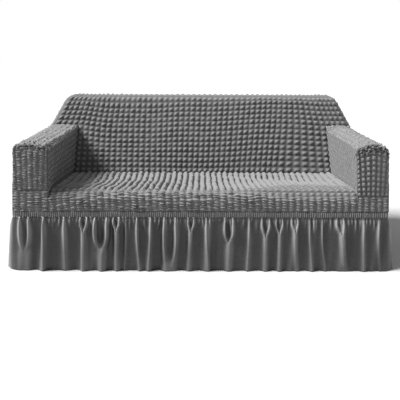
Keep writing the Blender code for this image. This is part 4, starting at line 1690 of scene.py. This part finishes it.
@dataclass
class SeatPanel(Panel):
    """Seat deck and seat front in one, running on below both arm fronts.

    Where two sizes are given, the first holds in the middle and the second aside of it.

    Attributes:
        loft: depth from the cloth to its backing.
        fan: how far the ropes are drawn to the middle, as a share of the panel's width.
        fan_edge: power that keeps the fan off the arms.
        sway_start: how fast the sways set in from the arms and from front and rear.
        right_aside: x where the right side begins, and distance over which it does.
        left_share: how much the left side differs from the middle, beside the right one.
    """

    fine: int = 8
    fine_front: int = 13
    deck_rows: int = 14
    round_rows: int = 3
    drop_rows: int = 2
    loft: float = 12 * MM
    fan: float = 0.070
    fan_edge: int = 6
    fan_grow: float = 2.2
    fan_rear: float = 0.4
    sway: float = 2.5 * MM
    # Seed, length along the ropes, turns from arm to arm, and share of each sway.
    sways: tuple[tuple[int, float, int, float], ...] = ((21, 0.2, 3, 1.0), (22, 0.08, 9, 0.3))
    sway_start: tuple[int, int] = (20, 4)
    pull: Pull = Pull(-0.68, 0.36, 0.20, 0.12)
    right_aside: Pair = (0.15, 0.35)
    left_aside: Pair = (0.45, 0.20)
    left_share: float = 0.5
    rope_start: Pair = (0.022, 0.10)
    rope_grow: Pair = (0.04, 0.12)
    rope_full: float = 1.75
    slack_end: Pair = (0.045, 0.020)
    slack_fade: float = 0.03
    slack: float = 0.9
    foot_full: float = 0.8
    foot_fade: float = 0.03

    def patches(self) -> list[Patch]:
        """Grids of the front with its round edge, of the deck and of the two wings.

        Returns:
            Its patches.
        """
        sofa, fine_front = self.sofa, self.fine_front
        left, right = sofa.left, sofa.right
        columns = grid_steps(left.in_foot + right.in_foot, self.grid.across, self.fine)
        share = np.linspace(0, 1, columns + 1)
        low = np.linspace(sofa.band_top, sofa.crown_foot_z, self.drop_rows * fine_front + 1)
        drop = np.stack([np.full_like(low, sofa.front_y), low], axis=-1)
        line = sofa.seat_line(self.round_rows * fine_front, self.deck_rows * self.fine)
        turn = self.round_rows * fine_front
        front = np.vstack([drop[:-1], line[:turn + 1]])
        return [Patch.counted(self._rows(front, share), (fine_front, self.fine)),
                Patch.counted(self._rows(line[turn:], share), (self.fine, self.fine),
                              first_row=self.drop_rows + self.round_rows),
                *(self._wing(arm, columns / self.fine) for arm in (left, right))]

    def _rows(self, line: Array, share: Array) -> Array:
        """Rows of points from arm to arm.

        Args:
            line: side view of the seat as rows of y, z.
            share: places of the columns from the left arm (0) to the right one (1).

        Returns:
            Rows x columns x 3.
        """
        sofa = self.sofa
        y, z = line[:, 0][:, None], line[:, 1][:, None]
        along = np.clip((y - sofa.front_y) / (sofa.crease_y - sofa.front_y), 0, 1)
        drawn = self.fan * (share - 0.5) * (1.0 - (2.0 * share - 1.0) ** self.fan_edge)
        drawn = drawn * ease(along * self.fan_grow) * lerp(
            1.0, self.fan_rear, ease((along - 0.5) / 0.5))
        x = lerp(-sofa.left.in_foot, sofa.right.in_foot, share - drawn)
        from_arms, from_ends = self.sway_start
        inside = (ease(np.minimum(share, 1 - share) * from_arms)
                  * ease(np.minimum(along, 1 - along) * from_ends))
        sway = sum(part * noise_wave(seed)(y / length + share * turns)
                   for seed, length, turns, part in self.sways)
        x = x + self.sway * sway * inside
        swell = sofa.seat_swell * 4 * share * (1 - share) * np.sin(math.pi * along)
        return np.stack([x + 0 * y, y + 0 * x, z + swell], axis=-1)

    def _wing(self, arm: Arm, last_column: float) -> Patch:
        """The part of the seat front that runs on below an arm front.

        Args:
            arm: the arm.
            last_column: puff count of the deck's right edge.

        Returns:
            Its grid.
        """
        sofa, fine = self.sofa, self.fine_front
        low = np.linspace(sofa.band_top, sofa.crown_foot_z, self.drop_rows * fine + 1)
        extra = round((arm.seam_z - sofa.crown_foot_z) / self.grid.down_front * fine)
        z = np.concatenate([low, np.linspace(sofa.crown_foot_z, arm.seam_z, extra + 1)[1:]])
        outer, inner = sofa.arm_sides(arm, z)
        columns = grid_steps(sofa.half_width - arm.in_foot, self.grid.across, self.fine)
        share = np.linspace(0, 1, columns + 1)[None, :]
        x = lerp(inner[:, None], outer[:, None], share)
        points = np.stack([arm.side.value * x, np.full_like(x, sofa.front_y),
                           z[:, None] + 0 * x], axis=-1)
        count = np.arange(columns + 1) / self.fine
        count = -count if arm.side is Side.LEFT else last_column + count
        return Patch.counted(points, (fine, self.fine), count, flip=arm.side is Side.LEFT)

    def piece(self) -> ClothPiece:
        """The whole panel: tight ropes on the deck, cross folds on the front.

        Returns:
            The piece, not yet sewn.
        """
        sofa = self.sofa
        piece = ClothPiece("seat_panel", self.patches(), 2 * sofa.half_width,
                           thickness=self.loft)
        piece.drag(self.pull.shift(piece.points))
        x, y, z = piece.points.T
        (right, right_over), (left, left_over) = self.right_aside, self.left_aside
        aside = np.maximum(ease((x - right) / right_over),
                           self.left_share * ease((-x - left) / left_over))
        behind = y - sofa.front_y
        piece.taut = ease((behind - lerp(*self.rope_start, aside)) / lerp(*self.rope_grow, aside))
        piece.slack = self.slack * ease((lerp(*self.slack_end, aside) - behind)
                                        / self.slack_fade)
        bottom = ease((z - sofa.band_top) / self.foot_fade)
        piece.full = (lerp(1.0, self.rope_full, piece.taut)
                      * lerp(self.foot_full, 1.0, bottom))
        return piece


@dataclass
class BubbleCover:
    """All pieces of bubble cloth, sewn together and puffed."""

    sofa: Sofa
    grid: BubbleGrid
    seams: Seams
    finish: KnitFinish

    def pieces(self) -> list[ClothPiece]:
        """The pieces before they are sewn.

        Returns:
            The pieces.
        """
        sofa, grid = self.sofa, self.grid
        left, right = sofa.left, sofa.right
        panels = (BackInside(sofa, grid), BackOutside(sofa, grid), SeatPanel(sofa, grid),
                  Sleeve(sofa, grid, left, (0.6, 1.25, 0.9)),
                  Sleeve(sofa, grid, right, (0.6, 1.25, 0.6)),
                  ArmFront(sofa, grid, left, (0.75, 0.75), (1.0, 0.85), 0.035),
                  ArmFront(sofa, grid, right, (0.6, 1.0), (0.45, 0.12), 0.055))
        return [panel.piece() for panel in panels]

    def build(self) -> None:
        """Make, sew, puff and declare every piece."""
        pieces = self.pieces()
        self.seams.sew(pieces)
        tool = PuffTool("puffs")
        finish = self.finish.material()
        for seed, piece in enumerate(pieces):
            item = tool.apply(self._flat_object(piece), finish, Seed=float(seed))
            flat = (round(piece.width, 3), round(piece.area / piece.width, 3))
            declare(item, piece.name, flat)

    @staticmethod
    def _flat_object(piece: ClothPiece) -> bpy.types.Object:
        """Make one piece's object, before its puffs are raised.

        Args:
            piece: the sewn piece.

        Returns:
            The object, with what the puffs follow as attributes of its points.
        """
        points, faces, source = piece.shell()
        item = make_object(f"{piece.name}_cloth", points, faces)
        cloth = np.zeros((len(points), 3))
        cloth[:, :2] = piece.cloth[source]
        store(item.data, "cloth", "FLOAT_VECTOR", cloth)
        for name in ("full", "slack", "taut", "crush"):
            values = getattr(piece, name)[source]
            store(item.data, name, "FLOAT", np.where(source < 0, 0.0, values))
        return item


# ---- skirt and band

@dataclass(frozen=True)
class Fold:
    """One fold of the skirt, with places round the outline counted from the front's middle.

    Attributes:
        hem: its place at the hem.
        band: its place at the band, or the places of its two branches.
        joined: share of the height where its branches have met, or 1 if it has only one.
        width: half of its width.
        start: share of its depth at the band.
    """

    hem: float
    band: tuple[float, ...]
    joined: float
    depth: float
    width: float
    start: float = 1.25


FRONT_FOLDS = (
    Fold(-0.966, (-0.958,), 1.0, 0.042, 0.018, 0.3),
    Fold(-0.894, (-0.912, -0.869), 0.60, 0.019, 0.024),
    Fold(-0.796, (-0.792,), 1.0, 0.027, 0.016),
    Fold(-0.686, (-0.688,), 1.0, 0.020, 0.024),
    Fold(-0.594, (-0.605, -0.574), 0.25, 0.028, 0.016),
    Fold(-0.503, (-0.532, -0.474), 0.60, 0.030, 0.018),
    Fold(-0.422, (-0.438, -0.411), 0.22, 0.027, 0.015),
    Fold(-0.385, (-0.377,), 1.0, 0.010, 0.014),
    Fold(-0.308, (-0.320,), 1.0, 0.026, 0.014),
    Fold(-0.262, (-0.252,), 1.0, 0.026, 0.014),
    Fold(-0.163, (-0.182, -0.126), 0.97, 0.028, 0.016),
    Fold(-0.057, (-0.060, -0.034), 0.25, 0.020, 0.014),
    Fold(0.044, (0.030,), 1.0, 0.020, 0.017),
    Fold(0.141, (0.125, 0.163), 0.45, 0.021, 0.015),
    Fold(0.239, (0.246,), 1.0, 0.017, 0.015),
    Fold(0.330, (0.312, 0.347), 0.35, 0.019, 0.016),
    Fold(0.401, (0.384, 0.413), 0.30, 0.016, 0.014),
    Fold(0.493, (0.462, 0.490), 0.25, 0.018, 0.016),
    Fold(0.569, (0.552,), 1.0, 0.015, 0.014),
    Fold(0.635, (0.615,), 1.0, 0.015, 0.014),
    Fold(0.742, (0.688, 0.721), 0.30, 0.020, 0.018),
    Fold(0.833, (0.824,), 1.0, 0.018, 0.018),
    Fold(0.916, (0.900,), 1.0, 0.014, 0.014),
    Fold(0.968, (0.958,), 1.0, 0.042, 0.018, 0.3),
)


@dataclass(frozen=True)
class Outline:
    """Rounded rectangle that the band follows, measured from the middle of the front."""

    sofa: Sofa
    front_radius: float = 0.016

    def runs(self) -> list[tuple[float, float, float, float, float]]:
        """Straight and round runs, from the middle of the front to the right.

        Returns:
            Length, then for a straight run its start x and y, its heading and 0, or for a
            round run the x and y of its centre, the angle where it starts and its radius.
        """
        sofa, front, rear = self.sofa, self.front_radius, self.sofa.rear_corner
        half, low, high = sofa.half_width, sofa.front_y, sofa.rear_y
        side = high - low - front - rear
        return [
            (half - front, 0.0, low, 0.0, 0.0),
            (front * QUARTER, half - front, low + front, -QUARTER, front),
            (side, half, low + front, QUARTER, 0.0),
            (rear * QUARTER, half - rear, high - rear, 0.0, rear),
            (2 * (half - rear), half - rear, high, 2 * QUARTER, 0.0),
            (rear * QUARTER, -half + rear, high - rear, QUARTER, rear),
            (side, -half, high - rear, -QUARTER, 0.0),
            (front * QUARTER, -half + front, low + front, 2 * QUARTER, front),
            (half - front, -half + front, low, 0.0, 0.0),
        ]

    @property
    def length(self) -> float:
        """Length all the way round."""
        return sum(run[0] for run in self.runs())

    def apart(self, distance: Array, place: Number) -> Array:
        """How far distances lie beyond a place, the short way round."""
        apart = distance - place
        return apart - self.length * np.round(apart / self.length)

    def at(self, distance: Array, offset: Array) -> Array:
        """Points that far round the outline, moved outwards by an offset.

        Args:
            distance: distances from the middle of the front, one for each column.
            offset: how far out each point stands, rows x columns.

        Returns:
            Rows x columns x 2.
        """
        left = np.mod(np.broadcast_to(distance, offset.shape), self.length)
        x, y = np.zeros_like(left), np.zeros_like(left)
        done = 0.0
        for length, start_x, start_y, heading, radius in self.runs():
            here = (left >= done) & (left <= done + length)
            s = left[here] - done
            out = offset[here]
            if radius:
                angle = heading + s / radius
                x[here] = start_x + (radius + out) * np.cos(angle)
                y[here] = start_y + (radius + out) * np.sin(angle)
            else:
                way = (math.cos(heading), math.sin(heading))
                x[here] = start_x + way[0] * s + way[1] * out
                y[here] = start_y + way[1] * s - way[0] * out
            done += length
        return np.stack([x, y], axis=-1)


def closed_ring(name: str, points: Array) -> bpy.types.Object:
    """Object whose rows of points each close on themselves.

    Args:
        name: its name.
        points: rows x columns x 3, from the top row down.

    Returns:
        The object.
    """
    rows, columns = points.shape[:2]
    index = np.arange(rows * columns).reshape(rows, columns)
    after = np.roll(index, -1, axis=1)
    faces = np.stack([index[1:], after[1:], after[:-1], index[:-1]], axis=-1)
    return make_object(name, points.reshape(-1, 3), faces.reshape(-1, 4).tolist())


def thicken(item: bpy.types.Object, thickness: float) -> None:
    """Give a thin cloth its thickness, inwards from the side that shows.

    Args:
        item: the cloth.
        thickness: its thickness.
    """
    wall = item.modifiers.new("cloth thickness", "SOLIDIFY")
    wall.thickness = thickness
    wall.offset = -1.0
    wall.use_rim = True


@dataclass(frozen=True)
class Pleats:
    """Small gathers just below the band, each running out at its own height."""

    pitch: float = 18 * MM
    depth: float = 13 * MM
    width: float = 4.2 * MM
    widen: float = 1.2
    deeper: Pair = (0.5, 1.2)
    place: Pair = (0.2, 0.8)
    lean: float = 0.5
    run_out: Pair = (0.07, 0.40)
    fade_power: float = 0.8
    rise: float = 0.07
    start: float = 0.15
    seed: int = 5

    def heights(self, outline: Outline, d: Array, t: Array) -> Array:
        """Sum of their heights, each to the fourth power.

        Args:
            outline: the band's outline.
            d: places round it, in one row.
            t: shares of the height from the band to the hem, in one column.

        Returns:
            Rows x columns.
        """
        draw = random.Random(self.seed)
        count = int(outline.length / self.pitch)
        total = np.zeros((t.shape[0], d.shape[1]))
        for number in range(count):
            place = (number + draw.uniform(*self.place)) * outline.length / count
            run_out = lerp(*self.run_out, draw.random() ** 2)
            depth = self.depth * draw.uniform(*self.deeper)
            lean = draw.uniform(-self.lean, self.lean) * self.pitch
            apart = outline.apart(d, place + lean * t / run_out)
            fade = np.clip(1 - t / run_out, 0, 1) ** self.fade_power
            fade = fade * lerp(self.start, 1.0, ease(t / self.rise))
            width = self.width * (1 + self.widen * t / run_out)
            total += (depth * fade * np.exp(-(apart / width) ** 2)) ** 4
        return total


@dataclass(frozen=True)
class HiddenFolds:
    """Folds of the skirt's sides and back, with the least and greatest size of each kind."""

    seed: int = 11
    pitch: Pair = (0.062, 0.112)
    depth: Pair = (0.010, 0.020)
    width: Pair = (0.014, 0.022)
    fork_share: float = 0.35
    joined: Pair = (0.2, 0.7)
    spread: Pair = (0.013, 0.020)
    lean: float = 0.016
    clearance: float = 0.7

    def between(self, first: float, last: float) -> list[Fold]:
        """Draw the folds of one stretch of the outline.

        Args:
            first: place of the fold before them.
            last: place of the fold after them.

        Returns:
            The folds.
        """
        folds = []
        draw = random.Random(self.seed)
        place = first + self.pitch[0]
        while place < last - self.pitch[0] * self.clearance:
            depth = draw.uniform(*self.depth)
            width = draw.uniform(*self.width)
            middle = place + draw.uniform(-self.lean, self.lean)
            forked = draw.random() < self.fork_share
            joined = draw.uniform(*self.joined)
            spread = draw.uniform(*self.spread)
            band = (middle - spread, middle + spread) if forked else (middle,)
            folds.append(Fold(place, band, joined if forked else 1.0, depth, width))
            place += draw.uniform(*self.pitch)
        return folds


@dataclass
class Skirt:
    """Gathered skirt: one closed ring of smooth cloth with its hem.

    Attributes:
        opening: how wide a fold is at the band and at the hem, as a share of its width.
        fork_bow: how far the branches of a fork bow apart.
        branch_gap: distance between two joined branches, as a share of the fold's width.
        round_fork: a fork whose branches meet below this share closes in a round arch.
        arch_fade: where the branches fade, as a share of the joined height, and how fast.
        arch_grow: where the arch grows, in the same way.
        flats: height of the waves between the folds, at the band and at the hem.
        flat_slant: how far, in wave lengths, they slant on the way to the hem.
        hem_rows: distances of the grid's extra rows from the seam, as shares of the height.
    """

    sofa: Sofa
    outline: Outline
    finish: SmoothKnitFinish
    pleats: Pleats = Pleats()
    hidden: HiddenFolds = HiddenFolds()
    flare: float = 0.018
    flare_power: float = 1.2
    top_ease: float = 1.5 * MM
    tucked: float = 3 * MM
    opening: Pair = (0.30, 0.85)
    opening_power: float = 0.8
    band_share: float = 0.15
    band_run: float = 0.05
    fold_start: float = 0.55
    start_run: float = 0.22
    hem_share: float = 0.60
    crest_power: float = 1.5
    fork_bow: float = 3 * MM
    branch_gap: float = 0.5
    fork_power: float = 1.8
    round_fork: float = 0.4
    arch_power: int = 5
    arch_fade: Pair = (0.55, 0.45)
    arch_grow: Pair = (0.6, 0.4)
    arch_width: float = 1.7
    arch_depth: float = 0.9
    arch_branch: float = 0.45
    flats: Pair = (2.6 * MM, 4.2 * MM)
    flat_length: float = 0.06
    flat_slant: float = 0.4
    flat_run: float = 0.2
    flat_seed: int = 31
    hem_height: float = 15 * MM
    hem_dip: float = 1.2 * MM
    hem_reach: float = 3 * MM
    hem_rows: tuple[float, ...] = (-0.012, -0.006, 0.0, 0.006, 0.012)
    step: float = 3.3 * MM
    rows: int = 20
    row_power: float = 1.3
    thickness: float = 1.3 * MM
    # Painted highlight on the folds: it starts this far out beyond the flats, is full this much
    # further out, and falls to a share of itself at the hem over a share of the height.
    crest_lift: float = 1 * MM
    crest_full: float = 12 * MM
    hem_highlight: float = 0.38
    highlight_run: float = 0.75

    def folds(self) -> list[Fold]:
        """Folds all the way round: listed ones in front, seeded ones on sides and back."""
        last = self.outline.length + FRONT_FOLDS[0].hem
        return [*FRONT_FOLDS, *self.hidden.between(FRONT_FOLDS[-1].hem, last)]

    def _valley(self, t: Array) -> Array:
        """How far the skirt stands out between its folds."""
        return self.top_ease + self.flare * t**self.flare_power

    def _fold(self, fold: Fold, d: Array, t: Array) -> Array:
        """Height of one fold to the fourth power, so that folds which meet run together.

        Args:
            fold: the fold.
            d: places round the outline, in one row.
            t: shares of the height from the band to the hem, in one column.

        Returns:
            Rows x columns.
        """
        forked = len(fold.band) > 1
        rounded = forked and fold.joined > self.round_fork
        stem = lerp(sum(fold.band) / len(fold.band), fold.hem, t) if forked else fold.hem
        part = np.clip(t / fold.joined, 0, 1)
        join = part**self.arch_power if rounded else ease(part**self.fork_power)
        height = fold.depth * lerp(fold.start, self.hem_share, t)
        height = height * lerp(self.band_share, 1.0, ease(t / self.band_run))
        height = height * lerp(self.fold_start, 1.0, ease(t / self.start_run))
        place, run = self.arch_fade
        left = lerp(1.0, self.arch_branch, ease((t - place * fold.joined) / run))
        width = fold.width * lerp(*self.opening, t**self.opening_power)
        total = 0.0
        for branch, band in enumerate(fold.band):
            way = branch - 0.5 if forked else 0.0
            foot = stem + way * self.branch_gap * fold.width
            bow = 2 * way * self.fork_bow * np.sin(math.pi * part)
            apart = self.outline.apart(d, lerp(band, foot, join) + bow)
            shape = np.exp(-np.abs(apart / width) ** self.crest_power)
            total = total + (height * shape * (left if rounded else 1.0)) ** 4
        if rounded:
            apart = self.outline.apart(d, stem)
            place, run = self.arch_grow
            grown = ease((t - place * fold.joined) / run)
            shape = np.exp(-(apart / (self.arch_width * fold.width)) ** 2)
            total = total + (self.arch_depth * height * shape * grown) ** 4
        return total

    def offsets(self, distance: Array, down: Array) -> Array:
        """How far the skirt stands out from the outline.

        Args:
            distance: places round the outline, one per column.
            down: share of the height from the band (0) to the hem (1), one per row.

        Returns:
            Rows x columns.
        """
        d, t = distance[None, :], down[:, None]
        total = sum(self._fold(fold, d, t) for fold in self.folds())
        total = total + self.pleats.heights(self.outline, d, t)
        flats = lerp(*self.flats, t) * ease(t / self.flat_run)
        flats = flats * noise_wave(self.flat_seed)(d / self.flat_length + self.flat_slant * t)
        return self._valley(t) + total**0.25 + flats

    def surface(self, distance: Array, down: Array, offsets: Array) -> Array:
        """Points of the skirt's outside.

        Args:
            distance: places round the outline, one per column.
            down: share of the height from the band to the hem, one per row.
            offsets: how far each point stands out, rows x columns.

        Returns:
            Rows x columns x 3.
        """
        z = self.sofa.band_bottom * (1 - down)
        hem = np.clip(1 - np.abs(z - self.hem_height) / self.hem_reach, 0, 1)[:, None]
        xy = self.outline.at(distance, offsets - self.hem_dip * hem)
        z = z + self.tucked * (down == 0)
        return np.concatenate([xy, z[:, None, None] + 0 * xy[..., :1]], axis=-1)

    def build(self) -> None:
        columns = round(self.outline.length / self.step)
        distance = np.linspace(0, self.outline.length, columns, endpoint=False)
        around_hem = 1 - self.hem_height / self.sofa.band_bottom + np.array(self.hem_rows)
        down = np.unique(np.concatenate([np.linspace(0, 1, self.rows + 1) ** self.row_power,
                                         around_hem]))
        offsets = self.offsets(distance, down)
        points = self.surface(distance, down, offsets)
        item = closed_ring("skirt_cloth", points)
        # Painted highlight on the crests of the folds, weaker towards the hem, over the finish's
        # painted shade on the flats.
        t = down[:, None]
        crest = ease((offsets - self._valley(t) - self.crest_lift) / self.crest_full)
        store(item.data, "rise", "FLOAT",
              crest * lerp(1.0, self.hem_highlight, ease(t / self.highlight_run)))
        thicken(item, self.thickness)
        item.data.materials.append(self.finish.material())
        gathered = run_length(points[len(down) // 2])[-1]
        declare(item, "skirt",
                (round(float(gathered), 2), self.sofa.band_bottom))


@dataclass
class Waistband:
    """Shirred elastic band: fine upright ribs all the way round."""

    sofa: Sofa
    outline: Outline
    finish: SmoothKnitFinish
    rib_pitch: float = 10.5 * MM
    shirring: float = 1.2
    tucked: float = 0.8 * MM
    swell: float = 1.2 * MM
    rise: float = 3.0
    rib_rise: float = 5.0
    steps_per_rib: int = 6
    rows: int = 8
    thickness: float = 2.0 * MM

    def build(self) -> None:
        columns = round(self.outline.length / self.rib_pitch) * self.steps_per_rib
        distance = np.linspace(0, self.outline.length, columns, endpoint=False)
        share = np.linspace(0, 1, self.rows + 1)[:, None]
        offset = lerp(-self.tucked, self.swell, ease(share * self.rise)) + 0 * distance[None, :]
        xy = self.outline.at(distance, offset)
        z = lerp(self.sofa.band_top, self.sofa.band_bottom, share) + 0 * offset
        item = closed_ring("waistband_cloth", np.concatenate([xy, z[..., None]], axis=-1))
        u, v = np.meshgrid(np.arange(columns) / self.steps_per_rib, share[:, 0])
        store(item.data, "cloth", "FLOAT_VECTOR", np.stack([u, v, 0 * u], axis=-1))
        store(item.data, "full", "FLOAT", ease(v * self.rib_rise))
        item = RibTool("ribs").apply(item, self.finish.material())
        thicken(item, self.thickness)
        flat = (round(self.outline.length * self.shirring, 2),
                self.sofa.band_top - self.sofa.band_bottom)
        declare(item, "waistband", flat)


# ---- studio

@dataclass(frozen=True)
class Studio:
    """Plain pale floor, soft light from the upper left, and the camera.

    The focal length is in picture widths, and the optical row is a share from the top.
    """

    eye: Point = (-0.004, -2.953, 1.074)
    pitch: float = 0.159
    roll: float = 0.004
    focal: float = 1.29
    optical_row: float = 0.35
    sensor: float = 36.0
    floor_colour: str = "#a7a7a7"
    floor_reach: float = 60.0
    floor_drop: float = 0.6 * MM
    key_from: Point = (-0.66, -0.12, 0.74)
    key_spread: float = 0.38
    key_strength: float = 9.8
    fill: float = 0.50
    background: float = 1.0

    def camera(self) -> None:
        """Add the camera."""
        data = bpy.data.cameras.new("camera")
        data.sensor_width = self.sensor
        data.lens = self.focal * data.sensor_width
        data.shift_y = self.optical_row - 0.5
        item = add_object("camera", data)
        item.rotation_mode = "XYZ"
        turn = (Matrix.Rotation(QUARTER - self.pitch, 4, "X")
                @ Matrix.Rotation(self.roll, 4, "Z"))
        item.matrix_world = Matrix.Translation(self.eye) @ turn
        bpy.context.scene.camera = item

    def floor(self) -> None:
        """Add the floor."""
        reach, z = self.floor_reach, -self.floor_drop
        corners = np.array([(-reach, -reach, z), (reach, -reach, z), (reach, reach, z),
                            (-reach, reach, z)])
        item = make_object("floor", corners, [[0, 1, 2, 3]], smooth=False)
        # Chalky paper has no highlight of its own.
        item.data.materials.append(new_material("matte_white_paper", {
            "Base Color": linear(self.floor_colour), "Roughness": 1.0}))

    def key(self) -> None:
        """Add the main light, far away and soft."""
        data = bpy.data.lights.new("key", "SUN")
        data.angle = self.key_spread
        data.energy = self.key_strength
        item = add_object("key", data)
        item.rotation_mode = "QUATERNION"
        item.rotation_quaternion = Vector(self.key_from).to_track_quat("Z", "Y")

    def world(self) -> None:
        """Add even pale light from all round, behind a near-white background."""
        world = bpy.data.worlds.new("studio")
        world.use_nodes = True
        tree = world.node_tree
        backdrop = tree.nodes["Background"]
        backdrop.inputs["Color"].default_value = linear("#ffffff")
        ray = add_node(tree, "ShaderNodeLightPath")
        strength = add_node(tree, "ShaderNodeMapRange",
                            {"To Min": self.fill, "To Max": self.background},
                            {"Value": ray.outputs["Is Camera Ray"]})
        tree.links.new(strength.outputs[0], backdrop.inputs["Strength"])
        bpy.context.scene.world = world

    def build(self) -> None:
        """Set up camera, floor, world and lamp."""
        bpy.context.scene.view_settings.view_transform = "Standard"
        self.camera()
        self.floor()
        self.world()
        self.key()


# ---- whole thing


def main() -> None:
    """Build every piece and the studio."""
    logging.basicConfig(level=logging.INFO, format="%(name)s: %(message)s")
    outline = Outline(SOFA)
    BubbleCover(SOFA, GRID, Seams(), KnitFinish()).build()
    # The band's light colour is painted light on its ribs, and its second colour painted shade
    # between them.
    Waistband(SOFA, outline, SmoothKnitFinish("shirred_knit", "#6c6c6c", "#343434")).build()
    Skirt(SOFA, outline, SmoothKnitFinish()).build()
    Studio().build()


if __name__ == "__main__":
    main()
